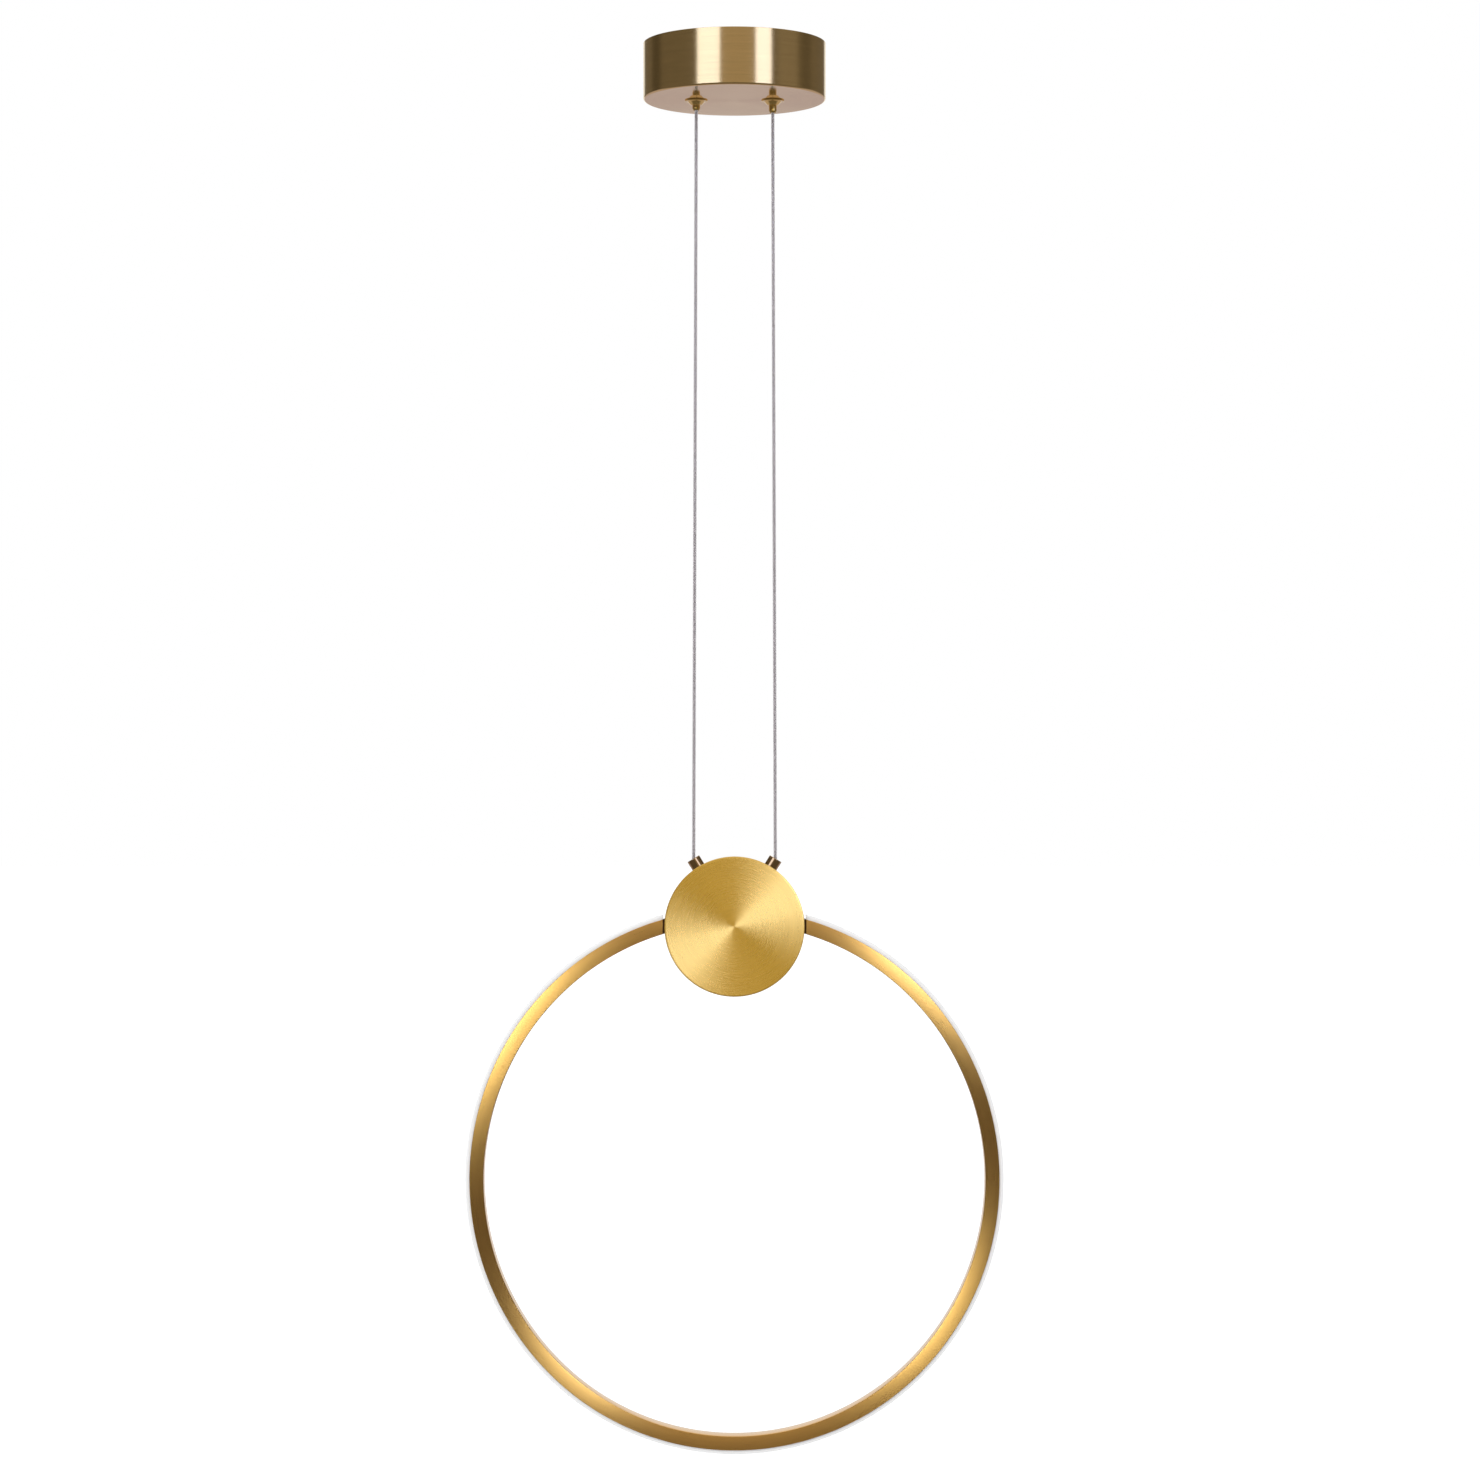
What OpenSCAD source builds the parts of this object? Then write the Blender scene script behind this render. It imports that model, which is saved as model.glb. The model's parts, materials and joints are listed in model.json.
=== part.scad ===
// Pendant light: a tall oval LED ring that hangs from a round hub on two powered cables.
// Millimetres, +Z up. The origin is on the ceiling, at the middle of the canopy.
// The front of the light faces -Y.

/* [Canopy] */
// Outer diameter of the canopy
canopy_d = 136; // [132:1:160]
// Height of the canopy, from the ceiling to its underside
canopy_h = 42; // [40:1:56]
// Thickness of the canopy's wall and floor
canopy_wall = 1; // [0.8:0.1:1.6]
// Radius of the canopy's lower edge
canopy_edge_r = 1.5; // [0.6:0.1:3]

/* [Ceiling bracket] */
// Width of the bracket's bar
bracket_w = 20; // [16:1:24]
// Thickness of the bracket's steel
bracket_t = 1.5; // [1:0.1:2.5]
// Length of the ears that turn down at the bracket's ends
bracket_ear = 16; // [14:1:22]
// Distance between the middles of the two screw slots
slot_spacing = 80; // [70:1:90]
// Width of a screw slot
slot_w = 5; // [4:0.1:6]
// Length of a screw slot, end to end
slot_len = 16; // [10:1:20]
// Diameter of the hole for the mains cable
entry_d = 12; // [8:0.5:15]
// Diameter of the screws that hold the canopy to the bracket
side_screw_d = 4; // [3:0.5:5]
// Length of the screws that hold the canopy to the bracket
side_screw_len = 8; // [6:0.5:12]

/* [Driver] */
// Length of the LED driver's case
driver_l = 84; // [70:1:86]
// Width of the LED driver's case
driver_w = 34; // [28:1:36]
// Height of the LED driver's case without its lid
driver_h = 22; // [20:1:24]
// Wall of the driver's case and lid
driver_wall = 1.5; // [1:0.1:2]
// Thickness of the foam pad under the driver
driver_pad_t = 1; // [0.6:0.1:2]

/* [Terminal block] */
// Distance between the poles of the terminal block
pole_pitch = 9; // [8:0.5:10]
// Depth of the terminal block, from wire to wire
terminal_l = 16; // [14:0.5:18]
// Height of the terminal block
terminal_h = 14; // [12:0.5:16]

/* [Grippers] */
// Distance between the two cable grippers
grip_spacing = 57; // [54:1:64]
// Diameter of a gripper's round flange
flange_d = 17; // [15:0.5:20]
// Thickness of a gripper's flange
flange_t = 1; // [0.8:0.1:1.6]
// Largest diameter of the cone below the flange
cone_d = 13; // [10.5:0.5:14.5]
// Height of the cone below the flange
cone_h = 2.6; // [2:0.1:4]
// Thread diameter of a gripper's stem
stem_d = 10; // [10:0.5:12]
// Length of a gripper's stem above the canopy's underside
stem_h = 20; // [19:0.5:22]
// Diameter of a release plunger
plunger_d = 5.8; // [5.4:0.1:6.2]
// How far the left plunger stands out below its cone
plunger_out_left = 4; // [3.4:0.1:6]
// How far the right plunger stands out below its cone
plunger_out_right = 5.7; // [4:0.1:6]

/* [Cables] */
// Outer diameter of a cable's clear jacket
cable_d = 2.5; // [2.2:0.1:2.6]
// Diameter of the conductor in a cable
core_d = 1.2; // [0.8:0.1:1.6]

/* [Hub] */
// Distance from the ceiling down to the middle of the hub
hub_drop = 657; // [560:1:900]
// Diameter of the front disc
disc_d = 104; // [100:1:112]
// Thickness of the front disc
disc_t = 1.5; // [1.2:0.1:2.5]
// Width of the bevel round the front disc
disc_bevel = 1.4; // [0.6:0.1:2.5]
// Thickness of the whole hub, front to back
hub_t = 25; // [24:0.5:32]
// Wall of the hub's housing
hub_wall = 2; // [1.6:0.1:2.4]
// How far the front disc stands proud of the housing all round
disc_lip = 0.6; // [0.2:0.1:1.2]

/* [Ferrules] */
// Angle of each ferrule from straight up
ferrule_angle = 31.5; // [28:0.5:36]
// Diameter of a ferrule's head
ferrule_d = 10.2; // [9:0.1:12]
// How far a ferrule stands out past the front disc
ferrule_out = 6.8; // [5:0.1:9]
// Thread diameter of a ferrule's stem
ferrule_stem_d = 8; // [7:0.5:8.5]

/* [Ring] */
// Width of the ring over its brass channel
ring_w = 394; // [360:1:440]
// Height of the ring over its brass channel, if it were closed at the top
ring_h = 402; // [364:1:450]
// Width of the channel as seen from the front
band_w = 10.5; // [10:0.1:12]
// Depth of the channel, front to back
band_t = 15; // [14.6:0.1:16]
// Wall of the channel
channel_wall = 1.5; // [1:0.1:1.6]
// How far the diffuser stands out past the channel
diffuser_out = 3.3; // [2:0.1:5]
// Wall of the diffuser
diffuser_wall = 1.5; // [1:0.1:2]
// Width of the dark joint between the hub and the ring
reveal = 1.7; // [1:0.1:3]
// Distance between neighbouring LEDs along the strip
led_pitch = 12; // [8:0.5:20]

/* [Hidden] */
$fn = 96;

// Colours
brass_polished = "#b9924a";
brass_satin = "#c9a052";
brass_bright = "#d9b45f";
brass_dark = "#4a3116";
steel = "#b4b6b8";
white_plastic = "#eceae4";
black_plastic = "#26262a";
board_green = "#2f6b46";
clear_jacket = "#dcdce0";

// Clearances
screw_gap = 0.05;
hole_gap = 0.1;
slip_gap = 0.15;
loose_gap = 0.3;
plunger_gap = 0.08;
seat_gap = 0.3;
fit_gap = 0.02;

// Canopy
canopy_r = canopy_d / 2;
canopy_in_r = canopy_r - canopy_wall;
under_z = -canopy_h;
floor_z = under_z + canopy_wall;

// Bracket
bracket_half = sqrt(pow(canopy_in_r - loose_gap, 2) - pow(bracket_w / 2, 2));
side_screw_z = -bracket_ear * 0.6;
earth_x = 20;
earth_d = 4;

// Driver
driver_wall_gap = 1.5;
driver_y = sqrt(pow(canopy_in_r - driver_wall_gap, 2) - pow(driver_l / 2, 2)) - driver_w / 2;
driver_z = floor_z + driver_pad_t;
driver_top_z = driver_z + driver_h + driver_wall;
board_t = 1.6;
driver_board_z = driver_z + 5;
lead_d = 2.2;
lead_hole_y = 4;
lead_hole_z = driver_z + 12;

// Terminal block
pole_count = 3;
terminal_w = pole_pitch * pole_count + 1;
terminal_screw_x = terminal_l * 0.22;
terminal_screw_r = 1.85;
terminal_hole_r = 1.7;
terminal_wall_gap = 19;
terminal_y = -(canopy_in_r - terminal_wall_gap - terminal_w / 2);
terminal_wire_z = floor_z + terminal_h * 0.4;

// Grippers
grip_x = grip_spacing / 2;
cone_z = under_z - flange_t - cone_h;
plunger_r = plunger_d / 2;
bore_r = plunger_r + plunger_gap;
chamber_depth = 0.92;
chamber_r = bore_r + chamber_depth;
taper_z0 = under_z + 2.5;
taper_z1 = under_z + 11;
cap_plug = 3;
cap_z = under_z + stem_h - cap_plug;
cap_head_h = 2;
cap_top_z = under_z + stem_h + cap_head_h;
ball_r = 0.9;
ball_below_top = 2;
plunger_len = plunger_out_right - cone_z + under_z + 6.5;
cable_r = cable_d / 2;
cable_bore_r = cable_r + 0.25;
flare_r = cable_r + 0.75;
flare_h = 1.5;
nut_af = 14;
nut_h = 3.5;
washer_t = 0.8;
washer_r = 8;

// Cables
core_r = core_d / 2;
tail_bend_r = 8;
outlet_z = cone_z - min(plunger_out_left, plunger_out_right) - seat_gap;
tail_z = max(driver_top_z + 5.5, cap_top_z + tail_bend_r + 1);
connector_r = 2.4;
connector_l = 16;
connector_y = 12;

// Hub
hub_z = -hub_drop;
disc_r = disc_d / 2;
hub_r = disc_r - disc_lip;
hub_in_r = hub_r - hub_wall;
hub_front_y = -hub_t / 2;
hub_back_y = hub_t / 2;
housing_front_y = hub_front_y + disc_t;
back_wall = 1.5;
back_in_y = hub_back_y - back_wall;
pillar_ring_r = 34;
pillar_r = 3.5;
pillar_angles = [0, 120, 240];
disc_screw_r = 1.5;
disc_screw_head_r = 3;
disc_screw_head_h = 1.4;
disc_screw_len = 9;
link_board_w = 36;
link_board_h = 16;
link_board_y = back_in_y - 4.6;
link_board_z = hub_z - 8;
post_x = 15.8;
post_r = 2.5;
board_screw_r = 1;
board_pin_x = 10;
board_pin_y = link_board_y - 4.5;
board_pad_y = link_board_y - 3;

// Ferrules
ferrule_end = disc_r + ferrule_out;
ferrule_seat = hub_r - 0.3;
ferrule_stem_end = hub_in_r - 7.4;
ferrule_nut_h = 3.2;
ferrule_nut_af = 12;
mouth_r = cable_r + 0.95;
mouth_h = 1.2;
cable_end = ferrule_end - 0.6;
stop_r = 3.2;
stop_h = 6;
stop_screw_r = 1.15;

// Free cables
cable_foot_x = cable_end * sin(ferrule_angle);
cable_foot_z = hub_z + cable_end * cos(ferrule_angle);
cable_rise = outlet_z - cable_foot_z;
cable_lean = atan2(cable_foot_x - grip_x, cable_rise);
cable_len = norm([cable_foot_x - grip_x, cable_rise]);

// Ring: four tangent arcs, two flat ones at the sides and two tighter ones at top and bottom
band_half = band_w / 2;
half_w = ring_w / 2 - band_half;
half_h = ring_h / 2 - band_half;
arc_shift = (half_h - half_w) / (2 - sqrt(2));
side_r = half_w + arc_shift;
end_r = half_h - arc_shift;
ring_z = hub_z - arc_shift - sqrt(end_r * end_r - disc_r * disc_r);
cut_r = disc_r + reveal;
cavity_half = band_t / 2 - channel_wall;
web_top = channel_wall - band_half;
strip_w = 8;
strip_t = 1;
chip_l = 3.5;
chip_w = 2.8;
chip_t = 0.8;
tongue_len = 14;
foot_x = 37;
foot_angle = ring_angle(foot_x);
ring_start = ring_angle(disc_r - 8);
tongue_start = ring_angle(disc_r - 3);
neck_end = ring_angle(disc_r + 6);
foot_pad_y = band_t / 2 - 0.1;
lead_way_offset = -1.2;
strip_lead_r = 0.7;
end_screw_r = 1.25;
end_screw_head_r = 2.2;
strip_stop = ring_angle(cut_r + tongue_len + 2);
leg_bottom = 1.5;

// Shapes that repeat

module mirrored_pair() {
    children();
    mirror([1, 0, 0]) children();
}

// Turns a shape's own +Z towards the back of the light, about the middle of the hub
module at_hub() {
    translate([0, 0, hub_z]) rotate([-90, 0, 0]) children();
}

// Turns a shape's own +Z along the right ferrule, away from the middle of the hub
module at_ferrule() {
    translate([0, 0, hub_z]) rotate([0, ferrule_angle, 0]) children();
}

function unit(v) = v / norm(v);

function spline_point(a, b, c, d, t) =
    0.5 * (2 * b + (c - a) * t + (2 * a - 5 * b + 4 * c - d) * t * t + (3 * b - a - 3 * c + d) * t * t * t);

// A smooth line through all the points, with n steps between neighbours
function smooth(points, n) = let (last = len(points) - 1)
    [for (i = [0:last - 1]) for (k = [0:n - 1])
        spline_point(points[max(i - 1, 0)], points[i], points[i + 1], points[min(i + 2, last)], k / n),
     points[last]];

function tangent(p, i) = unit(p[min(i + 1, len(p) - 1)] - p[max(i - 1, 0)]);

function side_axes(p, i, n) = i == len(p) ? [] :
    let (t = tangent(p, i), m = unit(n - (n * t) * t)) concat([m], side_axes(p, i + 1, m));

// A round tube swept along a line of points
module tube_along(p, r, sides = 8) {
    t0 = tangent(p, 0);
    start = abs(t0.x) < 0.8 ? [1, 0, 0] : [0, 1, 0];
    m = side_axes(p, 0, start);
    rings = len(p);
    corners = [for (i = [0:rings - 1]) let (b = cross(tangent(p, i), m[i])) for (k = [0:sides - 1])
        p[i] + r * (cos(360 * k / sides) * m[i] + sin(360 * k / sides) * b)];
    walls = [for (i = [0:rings - 2]) for (k = [0:sides - 1]) let (n = (k + 1) % sides)
        each [[i * sides + k, (i + 1) * sides + k, i * sides + n],
              [i * sides + n, (i + 1) * sides + k, (i + 1) * sides + n]]];
    first = [for (k = [0:sides - 1]) k];
    last = [for (k = [sides - 1:-1:0]) (rings - 1) * sides + k];
    polyhedron(corners, concat([first], walls, [last]));
}

// One arc of the ring, from angle a0 to a1, measured clockwise from 3 o'clock as seen from the front
module ring_arc(middle, r, a0, a1) {
    translate([middle.x, middle.y, 0]) rotate([0, 0, a0])
        rotate_extrude(angle = a1 - a0) translate([r, 0]) children();
}

// The whole ring's line, open at the top between the angles top_stop either side of 12 o'clock
module ring_sweep(top_stop) {
    translate([0, 0, ring_z]) rotate([-90, 0, 0]) {
        mirrored_pair() {
            ring_arc([arc_shift, 0], side_r, 135, 225) children();
            ring_arc([0, -arc_shift], end_r, 225, 270 - top_stop) children();
        }
        ring_arc([0, arc_shift], end_r, 45, 135) children();
    }
}

// The angle from 12 o'clock, on the ring's top arc, at a distance from the middle
function ring_angle(x) = asin(x / end_r);

// The right top end of the ring, between two angles from 12 o'clock
module ring_top_end(a0, a1) {
    translate([0, 0, ring_z]) rotate([-90, 0, 0])
        ring_arc([0, -arc_shift], end_r, -90 + a0, -90 + a1) children();
}

module hub_cylinder(r) {
    at_hub() translate([0, 0, -hub_t]) cylinder(r = r, h = 2 * hub_t);
}

// Canopy

module canopy_shell() {
    color(brass_polished) difference() {
        rotate_extrude() difference() {
            union() {
                translate([0, under_z + canopy_edge_r]) square([canopy_r, canopy_h - canopy_edge_r]);
                translate([0, under_z]) square([canopy_r - canopy_edge_r, canopy_h]);
                translate([canopy_r - canopy_edge_r, under_z + canopy_edge_r]) circle(r = canopy_edge_r);
            }
            translate([-canopy_r, floor_z]) square([canopy_r + canopy_in_r, canopy_h]);
            translate([-canopy_d, -canopy_d]) square([canopy_d, 2 * canopy_d]);
        }
        mirrored_pair() translate([grip_x, 0, under_z - 1])
            cylinder(d = stem_d + 2 * slip_gap, h = canopy_wall + 2);
        mirrored_pair() translate([canopy_in_r - 2, 0, side_screw_z]) rotate([0, 90, 0])
            cylinder(d = side_screw_d + 2 * hole_gap, h = canopy_wall + 4);
    }
}

module ceiling_bracket() {
    color(steel) difference() {
        union() {
            translate([-bracket_half, -bracket_w / 2, -bracket_t])
                cube([2 * bracket_half, bracket_w, bracket_t]);
            mirrored_pair() translate([bracket_half - bracket_t, -bracket_w / 2, -bracket_ear])
                cube([bracket_t, bracket_w, bracket_ear]);
        }
        translate([0, 0, -bracket_t - 1]) cylinder(d = entry_d, h = bracket_t + 2);
        mirrored_pair() translate([slot_spacing / 2, 0, -bracket_t - 1]) {
            mirrored_pair() translate([(slot_len - slot_w) / 2, 0, 0]) cylinder(d = slot_w, h = bracket_t + 2);
            translate([-(slot_len - slot_w) / 2, -slot_w / 2, 0])
                cube([slot_len - slot_w, slot_w, bracket_t + 2]);
        }
        mirrored_pair() translate([bracket_half - bracket_t - 1, 0, side_screw_z]) rotate([0, 90, 0])
            cylinder(d = side_screw_d + 2 * screw_gap, h = bracket_t + 2);
        translate([-earth_x, 0, -bracket_t - 1]) cylinder(d = earth_d + 2 * screw_gap, h = bracket_t + 2);
    }
}

module side_screws() {
    color(brass_polished) mirrored_pair() difference() {
        translate([canopy_r - side_screw_len, 0, side_screw_z]) rotate([0, 90, 0])
            cylinder(d = side_screw_d, h = side_screw_len - 0.1);
        translate([canopy_r - 1.6, 0, side_screw_z]) rotate([0, 90, 0]) cylinder(d = 2, h = 3, $fn = 6);
    }
}

module earth_screw() {
    color(brass_bright) translate([-earth_x, 0, 0]) difference() {
        union() {
            translate([0, 0, -bracket_t - 4]) cylinder(d = earth_d, h = bracket_t + 3.8);
            translate([0, 0, -bracket_t - 1]) cylinder(d = 2 * earth_d + 1, h = 1);
            translate([0, 0, -bracket_t - 3.5]) cylinder(d = 2 * earth_d - 1, h = 2.5);
        }
        translate([-earth_d, -0.5, -bracket_t - 5]) cube([2 * earth_d, 1, 2]);
    }
}

// Driver

module driver_pad() {
    color(black_plastic) translate([4 - driver_l / 2, driver_y - driver_w / 2 + 4, floor_z])
        cube([driver_l - 8, driver_w - 8, driver_pad_t]);
}

module driver_case() {
    color(white_plastic) difference() {
        union() {
            translate([-driver_l / 2, driver_y - driver_w / 2, driver_z]) difference() {
                cube([driver_l, driver_w, driver_h]);
                translate([driver_wall, driver_wall, driver_wall])
                    cube([driver_l - 2 * driver_wall, driver_w - 2 * driver_wall, driver_h]);
            }
            for (x = [-1, 1], y = [-1, 1])
                translate([x * (driver_l / 2 - 6), driver_y + y * (driver_w / 2 - 5), driver_z])
                    cylinder(r = 2, h = driver_board_z - driver_z);
        }
        for (x = [-1, 1], y = [-1, 1])
            translate([x * (driver_l / 2) - 2, driver_y + y * lead_hole_y, lead_hole_z]) rotate([0, 90, 0])
                cylinder(d = lead_d + 2 * loose_gap, h = 4);
    }
}

module driver_board() {
    color(board_green)
        translate([driver_wall + 1 - driver_l / 2, driver_y - driver_w / 2 + driver_wall + 0.5, driver_board_z])
            cube([driver_l - 2 * driver_wall - 2, driver_w - 2 * driver_wall - 1, board_t]);
}

module driver_transformer() {
    color("#c8a53a") translate([-4, driver_y, driver_board_z + board_t]) {
        translate([-8, -9, 0]) cube([16, 18, 3]);
        translate([-6, -7, 3]) cube([12, 14, 6]);
        translate([-8, -9, 9]) cube([16, 18, 2.6]);
    }
}

module driver_capacitors() {
    color("#3a4a6a") {
        translate([-25, driver_y - 4, driver_board_z + board_t]) cylinder(r = 5, h = 12);
        translate([22, driver_y + 5, driver_board_z + board_t]) cylinder(r = 4, h = 11);
        translate([14, driver_y - 11, driver_board_z + board_t]) cube([13, 6, 10]);
    }
}

module driver_lid() {
    color(white_plastic) {
        translate([-driver_l / 2, driver_y - driver_w / 2, driver_z + driver_h])
            cube([driver_l, driver_w, driver_wall]);
        translate([-driver_l / 2, driver_y - driver_w / 2, driver_z + driver_h - 2])
            translate([driver_wall + hole_gap, driver_wall + hole_gap, 0]) difference() {
                inner = [driver_l - 2 * driver_wall - 2 * hole_gap, driver_w - 2 * driver_wall - 2 * hole_gap];
                cube([inner.x, inner.y, 2]);
                translate([1, 1, -1]) cube([inner.x - 2, inner.y - 2, 3]);
            }
    }
}

// Terminal block and leads

function pole_y(i) = terminal_y + pole_pitch * (i - (pole_count - 1) / 2);

module terminal_block() {
    color(white_plastic) difference() {
        translate([-terminal_l / 2, terminal_y - terminal_w / 2, floor_z])
            cube([terminal_l, terminal_w, terminal_h]);
        for (i = [0:pole_count - 1]) {
            translate([-terminal_l, pole_y(i), terminal_wire_z]) rotate([0, 90, 0])
                cylinder(r = terminal_hole_r, h = 2 * terminal_l);
            for (x = [-1, 1]) translate([x * terminal_screw_x, pole_y(i), terminal_wire_z])
                cylinder(r = terminal_screw_r + screw_gap, h = terminal_h);
        }
    }
}

module terminal_screws() {
    screw_h = terminal_h * 0.35;
    color(steel) for (i = [0:pole_count - 1], x = [-1, 1])
        translate([x * terminal_screw_x, pole_y(i), terminal_wire_z + terminal_hole_r]) difference() {
            cylinder(r = terminal_screw_r, h = screw_h);
            translate([-2, -0.3, screw_h - 0.8]) cube([4, 0.6, 2]);
        }
}

module mains_leads() {
    for (i = [0, 1]) {
        y = pole_y(i + 1);
        driver_lead_y = driver_y + lead_hole_y * (1 - 2 * i);
        out = 4 - 5 * i;
        color(i == 0 ? "#5b3a21" : "#2c5aa8") tube_along(smooth([
            [driver_l / 2 - 5, driver_lead_y, lead_hole_z],
            [driver_l / 2 + 1.5, driver_lead_y, lead_hole_z],
            [driver_l / 2 + 5, driver_lead_y - 1, lead_hole_z],
            [driver_l / 2 + 8 + out / 2, driver_lead_y - 9, lead_hole_z],
            [driver_l / 2 + 7 + out, 2, terminal_wire_z + 2],
            [driver_l / 2 - 3 + out, y + 10, terminal_wire_z + 2],
            [terminal_l / 2 + 9, y, terminal_wire_z],
            [terminal_l / 2 - 5, y, terminal_wire_z]], 3), lead_d / 2);
    }
}

module output_leads() {
    for (i = [0, 1]) {
        driver_lead_y = driver_y + lead_hole_y * (1 - 2 * i);
        end_x = i == 0 ? grip_x : -grip_x;
        color(i == 0 ? "#a82a24" : "#202024") tube_along(smooth([
            [5 - driver_l / 2, driver_lead_y, lead_hole_z],
            [-1.5 - driver_l / 2, driver_lead_y, lead_hole_z],
            [-5 - driver_l / 2, driver_lead_y, lead_hole_z + 1],
            [-8 - driver_l / 2, driver_lead_y, lead_hole_z + 6],
            [-4 - driver_l / 2, driver_lead_y, tail_z - 1],
            [i == 0 ? 0 : -grip_x - 7, driver_y + 8 - 8 * i, tail_z],
            [end_x - (i == 0 ? 4 : 1), connector_y + connector_l + 6, tail_z],
            [end_x, connector_y + connector_l + 2, tail_z],
            [end_x, connector_y + connector_l - 1, tail_z],
            [end_x, connector_y + connector_l - 4, tail_z]], 3), lead_d / 2);
    }
}

module output_connectors() {
    color(clear_jacket) mirrored_pair() translate([grip_x, connector_y, tail_z]) rotate([-90, 0, 0])
        difference() {
            cylinder(r = connector_r, h = connector_l);
            translate([0, 0, -1]) cylinder(r = cable_r + fit_gap, h = connector_l / 2 + 1);
            translate([0, 0, connector_l / 2 + 1]) cylinder(d = lead_d + 2 * fit_gap, h = connector_l);
        }
}

// Grippers

module gripper_body() {
    color(brass_bright) translate([grip_x, 0, 0]) rotate_extrude() polygon([
        [bore_r, cone_z], [bore_r + 1.1, cone_z], [bore_r + 1.4, cone_z + 0.4],
        [cone_d / 2, under_z - flange_t], [flange_d / 2 - 0.3, under_z - flange_t],
        [flange_d / 2, under_z - flange_t + 0.3], [flange_d / 2, under_z],
        [stem_d / 2, under_z], [stem_d / 2, under_z + stem_h], [chamber_r, under_z + stem_h],
        [chamber_r, taper_z1], [bore_r, taper_z0]]);
}

module gripper_left() { mirror([1, 0, 0]) gripper_body(); }
module gripper_right() { gripper_body(); }

module gripper_washers() {
    color(steel) mirrored_pair() translate([grip_x, 0, floor_z]) difference() {
        cylinder(r = washer_r, h = washer_t);
        translate([0, 0, -1]) cylinder(d = stem_d + 2 * slip_gap, h = washer_t + 2);
    }
}

module gripper_nuts() {
    color(steel) mirrored_pair() translate([grip_x, 0, floor_z + washer_t]) difference() {
        cylinder(r = nut_af / 2 / cos(30), h = nut_h, $fn = 6);
        translate([0, 0, -1]) cylinder(d = stem_d + 2 * screw_gap, h = nut_h + 2);
    }
}

module gripper_caps() {
    color(brass_bright) mirrored_pair() translate([grip_x, 0, cap_z]) difference() {
        union() {
            cylinder(r = chamber_r - screw_gap, h = cap_plug + 1);
            translate([0, 0, cap_plug]) cylinder(d = stem_d, h = cap_head_h);
        }
        translate([0, 0, -1]) cylinder(r = cable_bore_r, h = cap_plug + cap_head_h + 2);
    }
}

// A coil spring between the plunger's top and the cap
module release_spring(plunger_out) {
    turns = 6;
    steps = 8;
    wire_r = 0.3;
    coil_r = (plunger_r + cable_bore_r) / 2;
    z0 = cone_z - plunger_out + plunger_len + wire_r + screw_gap;
    rise = cap_z - z0 - wire_r - screw_gap;
    points = [for (i = [0:turns * steps]) let (a = 360 * i / steps)
        [grip_x + coil_r * cos(a), coil_r * sin(a), z0 + rise * i / (turns * steps)]];
    color(steel) tube_along(points, wire_r, 6);
}

module release_spring_left() { mirror([1, 0, 0]) release_spring(plunger_out_left); }
module release_spring_right() { release_spring(plunger_out_right); }

module release_plunger(plunger_out) {
    color(brass_bright) translate([grip_x, 0, cone_z - plunger_out]) difference() {
        rotate_extrude() polygon([
            [flare_r, 0], [flare_r + 0.3, 0], [plunger_r, 1.6], [plunger_r, plunger_len],
            [cable_bore_r, plunger_len], [cable_bore_r, flare_h]]);
        for (a = [0, 120, 240]) rotate([0, 0, a]) translate([0, 0, plunger_len - ball_below_top])
            rotate([0, 90, 0]) cylinder(r = ball_r + screw_gap, h = plunger_r + 1);
    }
}

module release_plunger_left() { mirror([1, 0, 0]) release_plunger(plunger_out_left); }
module release_plunger_right() { release_plunger(plunger_out_right); }

module clamp_balls(plunger_out) {
    color(steel) translate([grip_x, 0, cone_z - plunger_out + plunger_len - ball_below_top])
        for (a = [0, 120, 240]) rotate([0, 0, a]) translate([cable_r + screw_gap + ball_r, 0, 0])
            sphere(r = ball_r, $fn = 32);
}

module clamp_balls_left() { mirror([1, 0, 0]) clamp_balls(plunger_out_left); }
module clamp_balls_right() { clamp_balls(plunger_out_right); }

// Cables

// The cable above the outlet: up through the gripper, over to the back and into its connector
module canopy_tail() {
    top = tail_z - tail_bend_r;
    color(clear_jacket) translate([grip_x, 0, 0]) {
        translate([0, 0, outlet_z]) rotate_extrude() difference() {
            square([cable_r, top - outlet_z]);
            circle(r = cable_r + screw_gap);
        }
        translate([0, tail_bend_r, top]) rotate([0, -90, 0]) rotate([0, 0, -90])
            rotate_extrude(angle = 90) translate([tail_bend_r, 0]) circle(r = cable_r);
        translate([0, tail_bend_r, tail_z]) rotate([-90, 0, 0])
            cylinder(r = cable_r, h = connector_y + connector_l / 2 - tail_bend_r);
    }
}

module canopy_tail_left() { mirror([1, 0, 0]) canopy_tail(); }
module canopy_tail_right() { canopy_tail(); }

// Half the outline of a cable with a round end at the top and at the bottom
function round_ended(r, h) = concat(
    [for (i = [0:6]) let (a = -90 + 15 * i) [r * cos(a), -h + r * sin(a)]],
    [for (i = [0:6]) let (a = 15 * i) [r * cos(a), r * sin(a)]]);

module hang_from_outlet() {
    translate([grip_x, 0, outlet_z]) rotate([0, -cable_lean, 0]) children();
}

module cable_jacket() {
    color(clear_jacket) hang_from_outlet() difference() {
        rotate_extrude() polygon(round_ended(cable_r, cable_len));
        translate([0, 0, -cable_len]) cylinder(r = core_r + fit_gap, h = cable_len);
    }
}

module cable_core() {
    color(steel) hang_from_outlet() translate([0, 0, -cable_len]) cylinder(r = core_r, h = cable_len);
}

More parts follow.
